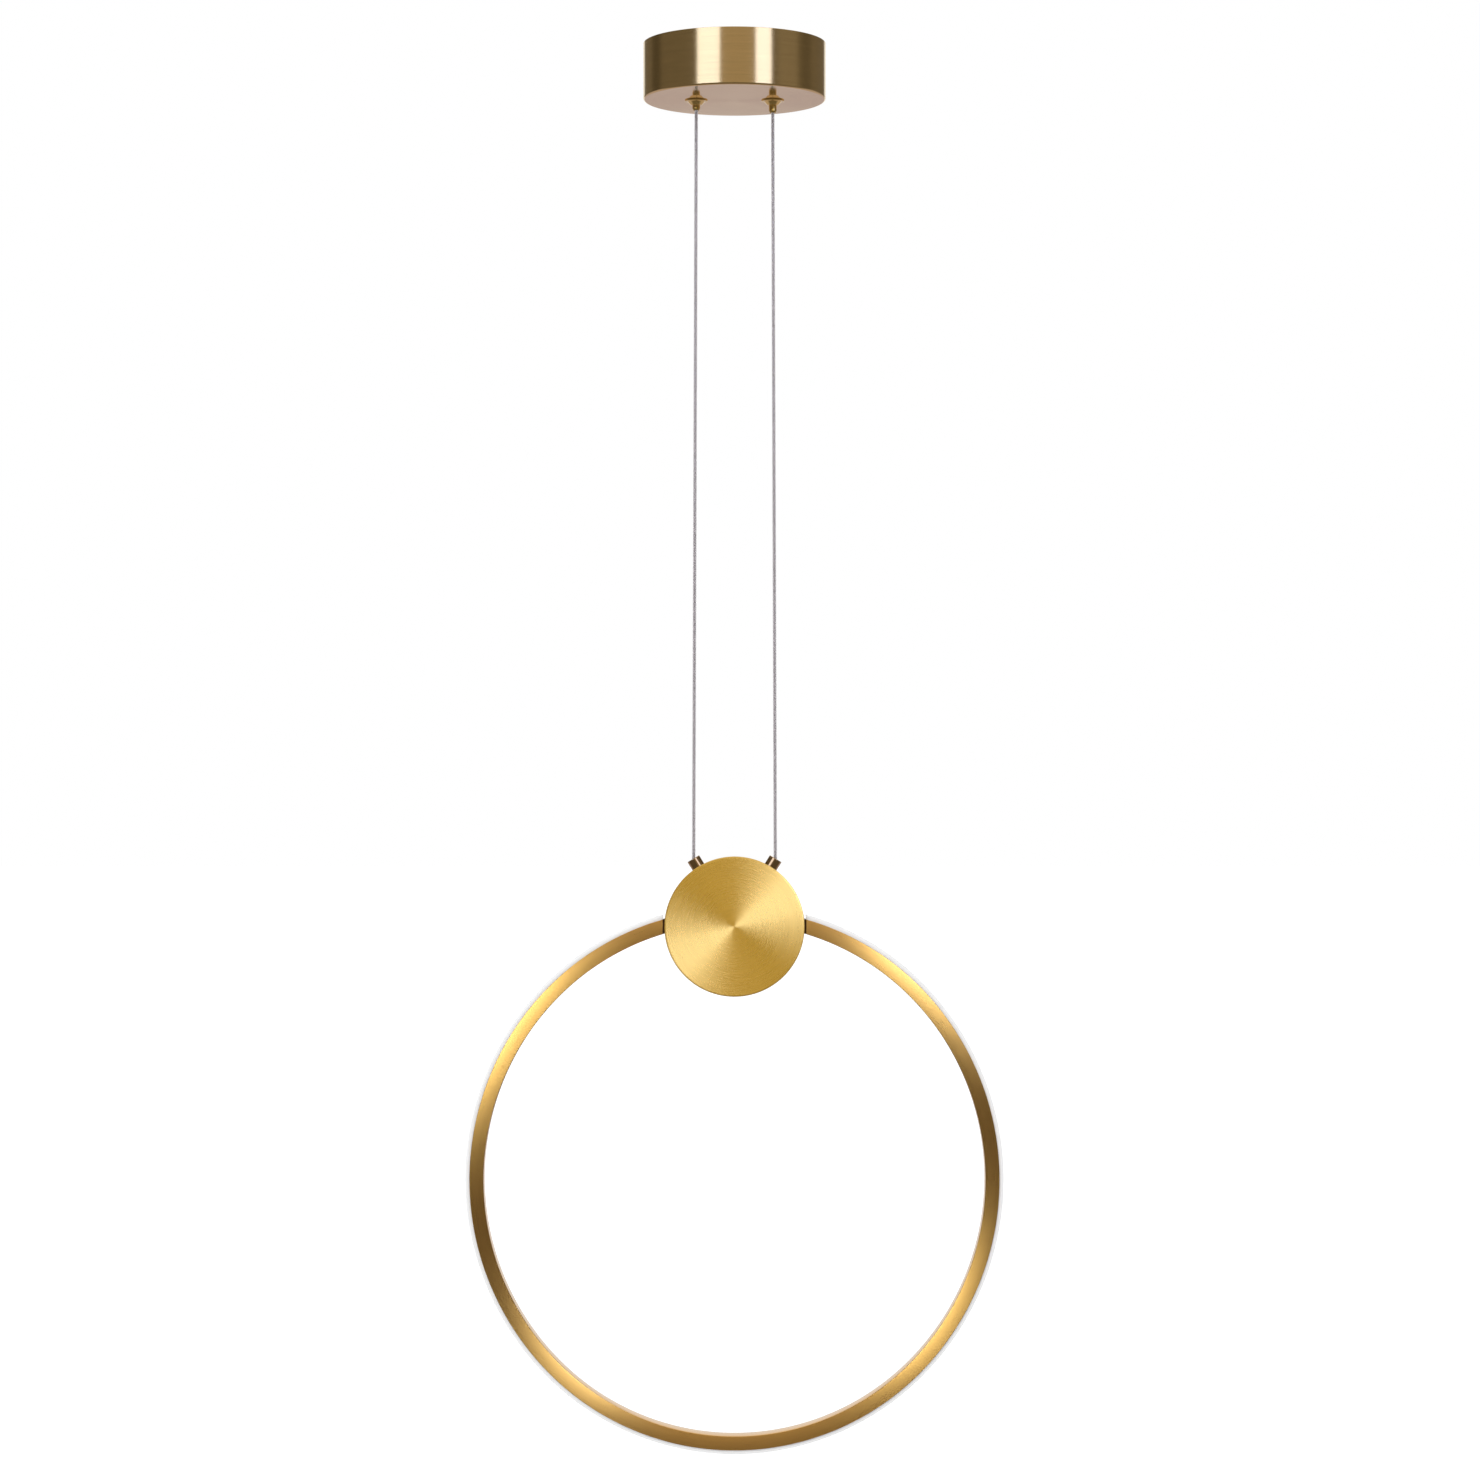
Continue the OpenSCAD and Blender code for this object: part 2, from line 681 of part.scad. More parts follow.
module cable_jacket_left() { mirror([1, 0, 0]) cable_jacket(); }
module cable_jacket_right() { cable_jacket(); }
module cable_core_left() { mirror([1, 0, 0]) cable_core(); }
module cable_core_right() { cable_core(); }

// Ferrules

module ferrule() {
    color(brass_polished) at_ferrule() rotate_extrude() polygon([
        [cable_bore_r, ferrule_stem_end], [ferrule_stem_d / 2, ferrule_stem_end],
        [ferrule_stem_d / 2, ferrule_seat], [ferrule_d / 2, ferrule_seat],
        [ferrule_d / 2, ferrule_end - 0.3], [ferrule_d / 2 - 0.3, ferrule_end],
        [mouth_r, ferrule_end], [cable_bore_r, ferrule_end - mouth_h]]);
}

module ferrule_left() { mirror([1, 0, 0]) ferrule(); }
module ferrule_right() { ferrule(); }

module ferrule_nuts() {
    color(steel) mirrored_pair() at_ferrule() translate([0, 0, hub_in_r - ferrule_nut_h]) difference() {
        cylinder(r = ferrule_nut_af / 2 / cos(30), h = ferrule_nut_h, $fn = 6);
        translate([0, 0, -1]) cylinder(d = ferrule_stem_d + 2 * screw_gap, h = ferrule_nut_h + 2);
    }
}

module cable_stops() {
    color(brass_bright) mirrored_pair() at_ferrule() translate([0, 0, ferrule_stem_end - stop_h])
        difference() {
            cylinder(r = stop_r, h = stop_h);
            translate([0, 0, -1]) cylinder(r = cable_r + screw_gap, h = stop_h + 2);
            translate([0, 0, stop_h / 2]) rotate([90, 0, 0])
                cylinder(r = stop_screw_r + screw_gap, h = stop_r + 1);
        }
}

module stop_screws() {
    color(steel) mirrored_pair() at_ferrule() translate([0, 0, ferrule_stem_end - stop_h / 2])
        rotate([90, 0, 0]) translate([0, 0, cable_r + hole_gap]) difference() {
            cylinder(r = stop_screw_r, h = stop_r - cable_r);
            translate([0, 0, stop_r - cable_r - 0.8]) cylinder(r = 0.6, h = 2, $fn = 6);
        }
}

// The cable below its outlet in the ferrule: down the stem, through its stop and to the link board
module lamp_tail() {
    axis = [sin(ferrule_angle), 0, cos(ferrule_angle)];
    middle = [0, 0, hub_z];
    top = cable_end - cable_r - seat_gap;
    below_stop = ferrule_stem_end - stop_h - 1;
    color(clear_jacket) {
        tube_along(smooth([
            middle + top * axis, middle + ((top + below_stop) / 2) * axis, middle + below_stop * axis,
            middle + (below_stop - 7) * axis + [0, 0.5, 0],
            [board_pin_x + 1, board_pin_y - 0.5, hub_z + 14],
            [board_pin_x, board_pin_y, hub_z + 7],
            [board_pin_x, board_pin_y, link_board_z + 7]], 3), cable_r);
    }
}

module lamp_tail_left() { mirror([1, 0, 0]) lamp_tail(); }
module lamp_tail_right() { lamp_tail(); }

// Hub

module disc_front() {
    color(brass_satin) at_hub() {
        rotate_extrude() polygon([
            [0, hub_front_y], [disc_r - disc_bevel, hub_front_y], [disc_r, hub_front_y + 0.6],
            [disc_r, housing_front_y], [0, housing_front_y]]);
        for (a = pillar_angles) rotate([0, 0, a - 90]) translate([pillar_ring_r, 0, 0])
            difference() {
                translate([0, 0, hub_front_y + 0.5]) cylinder(r = pillar_r, h = back_in_y - hub_front_y - 0.5);
                translate([0, 0, back_in_y - disc_screw_len])
                    cylinder(r = disc_screw_r + screw_gap, h = disc_screw_len + 1);
            }
    }
}

module hub_housing() {
    color(brass_satin) difference() {
        union() {
            at_hub() rotate_extrude() polygon([
                [0, hub_back_y], [hub_r - 0.8, hub_back_y], [hub_r, hub_back_y - 0.8],
                [hub_r, housing_front_y], [hub_in_r, housing_front_y], [hub_in_r, back_in_y], [0, back_in_y]]);
            mirrored_pair() translate([foot_x, foot_pad_y + hole_gap, hub_z - 4])
                cube([10, back_in_y - foot_pad_y, 11]);
            mirrored_pair() translate([post_x, back_in_y + 0.1, link_board_z]) rotate([90, 0, 0])
                cylinder(r = post_r, h = back_in_y + 0.1 - link_board_y - board_t);
        }
        mirrored_pair() at_ferrule() {
            cylinder(d = ferrule_stem_d + 2 * hole_gap, h = disc_r + 5);
            translate([0, 0, ferrule_seat]) cylinder(d = ferrule_d + 2 * hole_gap, h = 10);
            translate([0, 0, hub_in_r - 5]) cylinder(r = ferrule_nut_af / 2 / cos(30) + 1, h = 5);
        }
        mirrored_pair() ring_top_end(ring_angle(hub_in_r - 10), neck_end)
            translate([-band_half - loose_gap, -band_t / 2 - loose_gap])
                square([band_w + 2 * loose_gap, band_t + 2 * loose_gap - 0.2]);
        at_hub() for (a = pillar_angles) rotate([0, 0, a - 90]) translate([pillar_ring_r, 0, 0]) {
            translate([0, 0, back_in_y - 1]) cylinder(r = disc_screw_r + slip_gap, h = 4);
            translate([0, 0, hub_back_y - disc_screw_head_h])
                cylinder(r1 = disc_screw_r + slip_gap, r2 = disc_screw_head_r + slip_gap,
                    h = disc_screw_head_h + 0.001);
        }
        end_screw_places() cylinder(r = end_screw_r + screw_gap, h = 6);
        mirrored_pair() translate([post_x, back_in_y - 0.4, link_board_z]) rotate([90, 0, 0])
            cylinder(r = board_screw_r + screw_gap, h = 6);
    }
}

module disc_screws() {
    color(brass_polished) at_hub() for (a = pillar_angles) rotate([0, 0, a - 90])
        translate([pillar_ring_r, 0, 0]) difference() {
            union() {
                translate([0, 0, back_in_y - disc_screw_len + 1]) cylinder(r = disc_screw_r, h = disc_screw_len);
                translate([0, 0, hub_back_y - disc_screw_head_h])
                    cylinder(r1 = disc_screw_r, r2 = disc_screw_head_r, h = disc_screw_head_h - screw_gap);
            }
            for (t = [0, 90]) rotate([0, 0, t]) translate([-1.8, -0.3, hub_back_y - 0.9]) cube([3.6, 0.6, 2]);
        }
}

module link_board() {
    color(board_green) difference() {
        translate([-link_board_w / 2, link_board_y, link_board_z - link_board_h / 2])
            cube([link_board_w, board_t, link_board_h]);
        mirrored_pair() translate([post_x, link_board_y + board_t + 1, link_board_z]) rotate([90, 0, 0])
            cylinder(r = board_screw_r + slip_gap, h = board_t + 2);
    }
}

module board_screws() {
    color(steel) mirrored_pair() translate([post_x, link_board_y, link_board_z]) rotate([90, 0, 0])
        difference() {
            union() {
                cylinder(r = 1.9, h = 1.4);
                translate([0, 0, -board_t - 2.4]) cylinder(r = board_screw_r, h = board_t + 3);
            }
            translate([-2.2, -0.25, 0.8]) cube([4.4, 0.5, 2]);
        }
}

module board_terminals() {
    color(white_plastic) mirrored_pair() difference() {
        translate([board_pin_x - 3.5, link_board_y - 8, link_board_z - 5]) cube([7, 8, 10]);
        translate([board_pin_x, board_pin_y, link_board_z + 1]) cylinder(r = cable_r + loose_gap, h = 6);
        translate([board_pin_x, board_pad_y, link_board_z - 6]) cylinder(r = strip_lead_r + 0.5, h = 5);
        translate([board_pin_x, link_board_y - 9, link_board_z + 1.5]) rotate([-90, 0, 0])
            cylinder(r = 1.3, h = 4);
    }
}

// The height of the ring's line at a distance from the middle, near its top ends
function ring_line_z(x) = ring_z + arc_shift + sqrt(end_r * end_r - x * x);

// A point on the leads' way through a ring end, at an angle from 12 o'clock
function lead_way(a, y) = let (r = end_r + lead_way_offset)
    [r * sin(a), y, ring_z + arc_shift + r * cos(a)];

// The two leads from the link board into the left end of the ring
module strip_leads() {
    from_near = [[14, 1.5, link_board_z - 9], [19, -1, link_board_z - 5]];
    from_far = [[-4, 2, link_board_z - 11], [8, 1, link_board_z - 13.5], [18, 1, link_board_z - 9.5]];
    for (side = [-1, 1]) color(side < 0 ? "#a82a24" : "#202024") mirror([1, 0, 0]) tube_along(smooth(concat(
        [for (z = [-2, -7]) [-board_pin_x * side, board_pad_y, link_board_z + z]],
        side < 0 ? from_near : from_far,
        [[26, side, hub_z - 2], [31, side, hub_z + 2]],
        [for (a = [foot_angle - 0.8, foot_angle + 3, (foot_angle + strip_stop) / 2 + 2, strip_stop + 0.2])
            lead_way(a, 0.85 * side)]), 3), strip_lead_r);
}

// Ring

module end_screw_places() {
    mirrored_pair() for (x = [foot_x + 2.8, foot_x + 7.2])
        translate([x, foot_pad_y - 4, ring_line_z(x) + 2.4]) rotate([-90, 0, 0]) children();
}

module ring_end() {
    color(brass_dark) difference() {
        union() {
            intersection() {
                ring_top_end(foot_angle, neck_end) translate([0.1 - band_half, 0.1 - band_t / 2])
                    square([band_w - 0.2, band_t - 0.2]);
                hub_cylinder(cut_r - 0.05);
            }
            ring_top_end(tongue_start, ring_angle(cut_r + tongue_len))
                translate([web_top + hole_gap, hole_gap - cavity_half])
                    square([leg_bottom - web_top - 2 * hole_gap, 2 * cavity_half - 2 * hole_gap]);
        }
        ring_top_end(foot_angle - 1, strip_stop + 1) translate([lead_way_offset - 1, -2]) square([2, 4]);
        end_screw_places() translate([0, 0, -20]) cylinder(r = end_screw_r + slip_gap, h = 30);
        end_screw_places() translate([0, 0, -14]) cylinder(r = end_screw_head_r + loose_gap, h = 14);
    }
}

module ring_end_left() { mirror([1, 0, 0]) ring_end(); }
module ring_end_right() { ring_end(); }

module end_screws() {
    color(steel) end_screw_places() difference() {
        union() {
            cylinder(r = end_screw_r, h = 6);
            translate([0, 0, -1.8]) cylinder(r = end_screw_head_r, h = 1.8);
        }
        translate([-2.5, -0.3, -2.5]) cube([5, 0.6, 1.5]);
    }
}

module ring_channel() {
    color(brass_satin) difference() {
        ring_sweep(ring_start) difference() {
            translate([-band_half, -band_t / 2]) square([band_w, band_t]);
            translate([web_top, -cavity_half]) square([band_w, 2 * cavity_half]);
        }
        hub_cylinder(cut_r);
    }
}

module led_strip() {
    color(white_plastic) ring_sweep(strip_stop)
        translate([web_top, -strip_w / 2]) square([strip_t, strip_w]);
}

// One LED on the strip, at an angle on an arc of the ring
module led_on_arc(middle, r, a) {
    translate([0, 0, ring_z]) rotate([-90, 0, 0]) translate([middle.x, middle.y, 0]) rotate([0, 0, a])
        translate([r + web_top + strip_t, -chip_l / 2, -chip_w / 2]) cube([chip_t, chip_l, chip_w]);
}

module leds_on_arc(middle, r, a0, a1) {
    count = floor((a1 - a0) * PI / 180 * r / led_pitch);
    for (i = [0:count - 1]) led_on_arc(middle, r, a0 + (a1 - a0) * (i + 0.5) / count);
}

module led_chips() {
    color("#f2e27a") {
        leds_on_arc([-arc_shift, 0], side_r, -45, 45);
        leds_on_arc([arc_shift, 0], side_r, 135, 225);
        leds_on_arc([0, arc_shift], end_r, 45, 135);
        leds_on_arc([0, -arc_shift], end_r, -90 + strip_stop, -45);
        leds_on_arc([0, -arc_shift], end_r, 225, 270 - strip_stop);
    }
}

module diffuser() {
    half = cavity_half - hole_gap;
    top = band_half + diffuser_out;
    corner = 0.9;
    color([1, 1, 1, 0.7]) difference() {
        ring_sweep(ring_start) polygon([
            [leg_bottom, -half], [top - corner, -half], [top, corner - half], [top, half - corner],
            [top - corner, half], [leg_bottom, half], [leg_bottom, half - diffuser_wall],
            [top - diffuser_wall, half - diffuser_wall], [top - diffuser_wall, diffuser_wall - half],
            [leg_bottom, diffuser_wall - half]]);
        hub_cylinder(cut_r);
    }
}

canopy_shell();
ceiling_bracket();
side_screws();
earth_screw();
driver_pad();
driver_case();
driver_board();
driver_transformer();
driver_capacitors();
driver_lid();
terminal_block();
terminal_screws();
mains_leads();
output_leads();
output_connectors();
gripper_left();
gripper_right();
gripper_washers();
gripper_nuts();
gripper_caps();
release_spring_left();
release_spring_right();
release_plunger_left();
release_plunger_right();
clamp_balls_left();
clamp_balls_right();
canopy_tail_left();
canopy_tail_right();
cable_jacket_left();
cable_jacket_right();
cable_core_left();
cable_core_right();
ferrule_left();
ferrule_right();
ferrule_nuts();
cable_stops();
stop_screws();
lamp_tail_left();
lamp_tail_right();
disc_front();
hub_housing();
disc_screws();
link_board();
board_screws();
board_terminals();
strip_leads();
ring_end_left();
ring_end_right();
end_screws();
ring_channel();
led_strip();
led_chips();
diffuser();
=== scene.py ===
"""The looks of a ring pendant light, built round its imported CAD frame, and its studio."""

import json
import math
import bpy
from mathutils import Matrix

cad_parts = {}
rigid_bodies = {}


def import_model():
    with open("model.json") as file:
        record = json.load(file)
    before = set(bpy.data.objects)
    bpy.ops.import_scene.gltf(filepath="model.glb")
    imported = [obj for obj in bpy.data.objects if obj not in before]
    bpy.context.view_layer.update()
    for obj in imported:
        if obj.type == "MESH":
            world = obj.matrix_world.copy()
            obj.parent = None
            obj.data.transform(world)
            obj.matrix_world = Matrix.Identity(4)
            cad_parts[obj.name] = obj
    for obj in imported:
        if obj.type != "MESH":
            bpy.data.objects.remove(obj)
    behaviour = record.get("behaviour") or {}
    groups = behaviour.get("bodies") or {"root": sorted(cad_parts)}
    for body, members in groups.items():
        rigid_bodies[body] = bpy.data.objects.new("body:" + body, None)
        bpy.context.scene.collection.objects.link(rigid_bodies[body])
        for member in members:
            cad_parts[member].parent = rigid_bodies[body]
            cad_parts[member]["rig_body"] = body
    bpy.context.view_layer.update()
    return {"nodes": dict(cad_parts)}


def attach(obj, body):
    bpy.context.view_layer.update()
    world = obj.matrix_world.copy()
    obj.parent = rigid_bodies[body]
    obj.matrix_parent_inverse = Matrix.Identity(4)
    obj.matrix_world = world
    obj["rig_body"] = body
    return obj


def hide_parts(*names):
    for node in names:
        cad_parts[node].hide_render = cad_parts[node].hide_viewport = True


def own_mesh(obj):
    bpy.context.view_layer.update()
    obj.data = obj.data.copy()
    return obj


bl_info = {
    "name": "Ring Pendant Light",
    "version": (1, 0, 0),
    "blender": (4, 5, 0),
    "location": "3D Viewport > Sidebar > Pendant",
    "description": "Brass, opal and clear-cable finishes for a ring pendant light, with its studio",
    "category": "Object",
}

import bmesh
import bpy
from bpy.props import FloatProperty, FloatVectorProperty, IntProperty, PointerProperty
from mathutils import Matrix, Quaternion, Vector

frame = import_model()
NODES = frame["nodes"]

MM = 0.001
UP = Vector((0, 0, 1))
BACK = Vector((0, 1, 0))
ACROSS = Vector((1, 0, 0))

# The hub and the ring, as in the CAD source
HUB = Vector((0, 0, -657 * MM))
DISC_R = 52 * MM
CUT_R = 53.7 * MM
BAND_HALF = 5.25 * MM
BAND_DEPTH = 15 * MM
CHANNEL_WALL = 1.5 * MM
HALF_W = 197 * MM - BAND_HALF
HALF_H = 201 * MM - BAND_HALF
ARC_SHIFT = (HALF_H - HALF_W) / (2 - math.sqrt(2))
SIDE_R = HALF_W + ARC_SHIFT
END_R = HALF_H - ARC_SHIFT
RING_Z = HUB.z - ARC_SHIFT - math.sqrt(END_R**2 - DISC_R**2)
TOP_ARC_Z = RING_Z + ARC_SHIFT
END_SPARE = 0.05  # degrees by which the ring's line stops short of the circle that cuts it
DIFFUSER_OUT = 3.2 * MM
DIFFUSER_HALF = 5.9 * MM
DIFFUSER_LEG = 1.5 * MM
DIFFUSER_WALL = 1.5 * MM

# The cables, from their outlets in the grippers to their feet in the ferrules
GRIP_X = 28.5 * MM
OUTLET_Z = -49.9 * MM
FERRULE_ANGLE = math.radians(31.5)
FOOT_REACH = 58.2 * MM
CABLE_R = 1.25 * MM
CORE_R = 0.6 * MM
CORE_GAP = 0.02 * MM

SIDES = ((-1, "left"), (1, "right"))

# Clean-up of meshes: welding distances, the degrees that count as flat, and those that show
WELD_CAD = 2e-6
WELD = 1e-7
FLAT = 0.4
SHARP = 32.0

# Tool marks: how much wider their bands are than one mark, and how much those drift
BAND_WIDTH = 6
BAND_DRIFT = 0.31
# The share of its roughness that a polished face keeps, and of a core's radius that a strand has
POLISHED = 0.4
STRAND_SHARE = 0.325

WHITE = (1, 1, 1, 1)
BLACK = (0, 0, 0, 1)
INSULATION = {
    "brown": (0.12, 0.05, 0.02),
    "blue": (0.03, 0.09, 0.32),
    "red": (0.42, 0.03, 0.02),
    "black": (0.02, 0.02, 0.022),
}
NODE_SPACING = 180


def length_property(name, description, value, low, high):
    return FloatProperty(
        name=name, description=description, default=value * MM, min=low * MM, max=high * MM,
        precision=5, unit="LENGTH",
    )


def colour_property(name, description, value):
    return FloatVectorProperty(
        name=name, description=description, subtype="COLOR", size=3, min=0, max=1, default=value
    )


class PendantSizes(bpy.types.PropertyGroup):
    """Sizes of the details that the CAD model leaves to the finish."""

    edge_round: length_property(
        "Edge rounding", "Radius of the small bevel on machined edges", 0.15, 0.02, 0.4
    )
    channel_round: length_property(
        "Channel rounding", "Radius of the ring channel's long edges", 0.45, 0.1, 0.7
    )
    diffuser_round: length_property(
        "Diffuser rounding", "Radius of the diffuser's long outer edges", 1.3, 0.3, 1.45
    )
    strand_count: IntProperty(
        name="Strands",
        description="Wires laid round the middle one in each cable's core",
        default=6,
        min=5,
        max=7,
    )
    strand_pitch: length_property("Strand lay", "Length of one full turn of the strands", 9, 5, 30)


class PendantFinishes(bpy.types.PropertyGroup):
    """Colours of the visible finishes."""

    polished_brass: colour_property("Polished brass", "Canopy", (0.80, 0.60, 0.30))
    dark_brass: colour_property("Dark brass", "Ferrules", (0.50, 0.34, 0.17))
    satin_brass: colour_property("Satin brass", "Disc and housing", (0.82, 0.58, 0.175))
    bright_brass: colour_property("Bright brass", "Grippers and plungers", (0.84, 0.62, 0.25))
    ring_brass: colour_property("Ring brass", "The ring's channel", (0.68, 0.40, 0.135))
    # The end joints' near-black colour is partly their own dark bronze and partly painted shadow:
    # it stands in for the shadow in the gap between disc and ring.
    bronze: colour_property("Dark bronze", "The joints between disc and ring", (0.16, 0.09, 0.045))
    opal: colour_property("Opal", "The ring's diffuser", (0.93, 0.93, 0.93))
    jacket: colour_property("Clear jacket", "The cables' jacket", (0.66, 0.63, 0.65))
    conductor: colour_property("Conductor", "The tinned strands in the cables", (0.80, 0.78, 0.78))


# Building node trees


class Tree:
    """A node tree that short calls fill. Each call adds one node."""

    def __init__(self, tree):
        self.tree = tree

    def add(self, kind, inputs=(), **settings):
        made = self.tree.nodes.new(kind)
        made.location = (NODE_SPACING * len(self.tree.nodes), 0)
        for key, value in settings.items():
            setattr(made, key, value)
        for key, value in dict(inputs).items():
            self.give(made.inputs[key], value)
        return made

    def geo(self, kind, inputs=(), **settings):
        """The first output of a new geometry node."""
        return self.add("GeometryNode" + kind, inputs, **settings).outputs[0]

    def shade(self, kind, inputs=(), **settings):
        """The outputs of a new shader node."""
        return self.add("ShaderNode" + kind, inputs, **settings).outputs

    def give(self, socket, value):
        if isinstance(value, bpy.types.NodeSocket):
            self.tree.links.new(value, socket)
        else:
            socket.default_value = value

    def math(self, operation, *values):
        return self.shade("Math", enumerate(values), operation=operation)[0]

    def plus(self, a, b):
        return self.math("ADD", a, b)

    def minus(self, a, b):
        return self.math("SUBTRACT", a, b)

    def times(self, a, b):
        return self.math("MULTIPLY", a, b)

    def over(self, a, b):
        return self.math("DIVIDE", a, b)

    def size(self, value):
        return self.math("ABSOLUTE", value)

    def weighed(self, *shares):
        """The sum of some values, each times its weight."""
        terms = [self.times(value, weight) for value, weight in shares]
        total = terms.pop()
        while terms:
            total = self.plus(terms.pop(), total)
        return total

    def vector(self, operation, *values):
        made = self.shade("VectorMath", enumerate(values), operation=operation)
        return made["Value" if operation in ("DOT_PRODUCT", "LENGTH") else "Vector"]

    def scaled(self, vector, factor):
        return self.shade("VectorMath", {"Vector": vector, "Scale": factor}, operation="SCALE")[0]

    def combine(self, x, y, z=0.0):
        return self.shade("CombineXYZ", {"X": x, "Y": y, "Z": z})[0]

    def separate(self, vector):
        return self.shade("SeparateXYZ", {"Vector": vector})

    def ramp(self, value, low, high, to_low=0.0, to_high=1.0, smooth=False):
        """value between low and high, turned into a value between to_low and to_high."""
        inputs = {
            "Value": value, "From Min": low, "From Max": high, "To Min": to_low, "To Max": to_high,
        }
        kind = "SMOOTHSTEP" if smooth else "LINEAR"
        return self.shade("MapRange", inputs, interpolation_type=kind)[0]

    def rise(self, value, low, high):
        return self.ramp(value, low, high, smooth=True)

    def fade(self, value, low, high):
        return self.ramp(value, low, high, 1.0, 0.0, smooth=True)

    def mix(self, factor, a, b):
        """Colour a where factor is 0, and colour b where it is 1."""
        made = self.add("ShaderNodeMix", {"Factor": factor}, data_type="RGBA")
        colours = [socket for socket in made.inputs if socket.type == "RGBA"]
        self.give(colours[0], a)
        self.give(colours[1], b)
        return next(socket for socket in made.outputs if socket.type == "RGBA")

    def noise(self, vector, scale=1.0, detail=2.0, w=None):
        inputs = {"Vector": vector, "Scale": scale, "Detail": detail}
        if w is not None:
            inputs["W"] = w
        return self.shade("TexNoise", inputs, noise_dimensions="3D" if w is None else "4D")[0]


def shaded(colour, factor):
    """A colour made darker or lighter, with full alpha."""
    return (*(min(1.0, channel * factor) for channel in colour), 1.0)


class Finish(Tree):
    """A new material: its node tree, with a shader and the piece's own coordinates."""

    def __init__(self, name):
        self.material = bpy.data.materials.new(name)
        self.material.use_nodes = True
        self.material.node_tree.nodes.clear()
        super().__init__(self.material.node_tree)
        self.shader = self.add("ShaderNodeBsdfPrincipled")
        self.shade("OutputMaterial", {"Surface": self.shader.outputs[0]})
        self.place = self.shade("TexCoord")["Object"]

    def set(self, **values):
        """Gives the shader's inputs, with an underscore for each space in a name."""
        for key, value in values.items():
            self.give(self.shader.inputs[key.replace("_", " ")], value)

    def tint(self, share, colour, dark, light):
        """The colour's darker shade where share is 0, and its lighter one where it is 1."""
        self.set(Base_Color=self.mix(share, shaded(colour, dark), shaded(colour, light)))

    def bump(self, height, strength, distance):
        inputs = {"Height": height, "Strength": strength, "Distance": distance}
        self.set(Normal=self.shade("Bump", inputs)[0])

    def across(self, way):
        """The direction on the surface that lies across the way of the tool marks."""
        return self.vector("CROSS_PRODUCT", self.shade("NewGeometry")["Normal"], way)


def spun_marks(finish, centre, axis, grain, streaks):
    """Tool marks round an axis: their noise, that of wider bands, and where they spread light."""
    arm = finish.vector("SUBTRACT", finish.place, centre)
    height = finish.vector("DOT_PRODUCT", arm, axis)
    out = finish.vector("SUBTRACT", arm, finish.scaled(axis, height))
    radius = finish.vector("LENGTH", out)
    unit_out = finish.vector("NORMALIZE", out)
    climb = finish.scaled(axis, finish.over(height, grain))
    lengthwise = finish.vector("ADD", finish.scaled(unit_out, streaks), climb)
    marks = finish.noise(lengthwise, detail=3.0, w=finish.over(radius, grain))
    bands = finish.noise(
        finish.scaled(lengthwise, BAND_DRIFT), w=finish.over(radius, grain * BAND_WIDTH)
    )
    return marks, bands, finish.across(finish.vector("CROSS_PRODUCT", axis, unit_out))


def drawn_marks(finish, grain, streak):
    """Tool marks along a swept piece, by its own UV map, with the same three results."""
    u, v = finish.separate(finish.shade("UVMap", uv_map="UVMap")[0])[:2]
    fine = finish.combine(finish.over(u, streak), finish.over(v, grain))
    wide = finish.combine(finish.over(u, streak * 2), finish.over(v, grain * BAND_WIDTH), 5.0)
    run = finish.shade("Attribute", attribute_name="run")["Vector"]
    return finish.noise(fine, detail=3.0), finish.noise(wide), finish.across(run)


def brass(
    name, colour, roughness, marks_from,
    spread=0.8, depth=0.004 * MM, contrast=0.10, vary=0.15, polish=None,
):
    """Brass with fine tool marks, which marks_from adds. polish is an axis and two cosines:
    faces are smoother as they go from the first angle to the second."""
    finish = Finish(name)
    marks, bands, spread_way = marks_from(finish)
    cloud = finish.noise(finish.place, scale=38.0, detail=3.0)
    tone = finish.weighed((marks, 0.45), (bands, 0.35), (cloud, 0.20))
    finish.tint(finish.ramp(tone, 0.3, 0.7), colour, 1 - contrast, 1 + contrast)
    wear = finish.weighed((marks, 0.6), (cloud, 0.4))
    rough = finish.ramp(wear, 0.25, 0.75, roughness * (1 - vary), roughness * (1 + vary))
    if polish:
        axis, low, high = polish
        normal = finish.shade("NewGeometry")["True Normal"]
        lean = finish.size(finish.vector("DOT_PRODUCT", normal, axis))
        rough = finish.times(rough, finish.ramp(lean, low, high, 1.0, POLISHED))
    finish.set(Metallic=1.0, Anisotropic=spread, Roughness=rough, Tangent=spread_way)
    finish.bump(finish.plus(marks, finish.times(bands, 0.6)), 0.35, depth)
    return finish.material


def spun_brass(name, colour, roughness, centre, axis, grain=0.25 * MM, streaks=6.0, **more):
    def marks(finish):
        return spun_marks(finish, centre, axis, grain, streaks)

    return brass(name, colour, roughness, marks, **more)


def drawn_brass(name, colour, roughness, grain=0.4 * MM, streak=60 * MM, **more):
    def marks(finish):
        return drawn_marks(finish, grain, streak)

    return brass(name, colour, roughness, marks, **more)


def zinc_steel(name, colour=(0.60, 0.61, 0.62)):
    """Zinc-plated steel: a faint pattern of grains in a satin grey."""
    finish = Finish(name)
    grains = finish.shade("TexVoronoi", {"Vector": finish.place, "Scale": 420.0})["Color"]
    cloud = finish.noise(finish.place, scale=160.0, detail=4.0)
    grey = finish.weighed((finish.separate(grains)[0], 0.6), (cloud, 0.4))
    finish.tint(grey, colour, 0.86, 1.1)
    finish.set(Metallic=1.0, Roughness=finish.ramp(grey, 0.0, 1.0, 0.24, 0.40))
    finish.bump(cloud, 0.25, 0.01 * MM)
    return finish.material


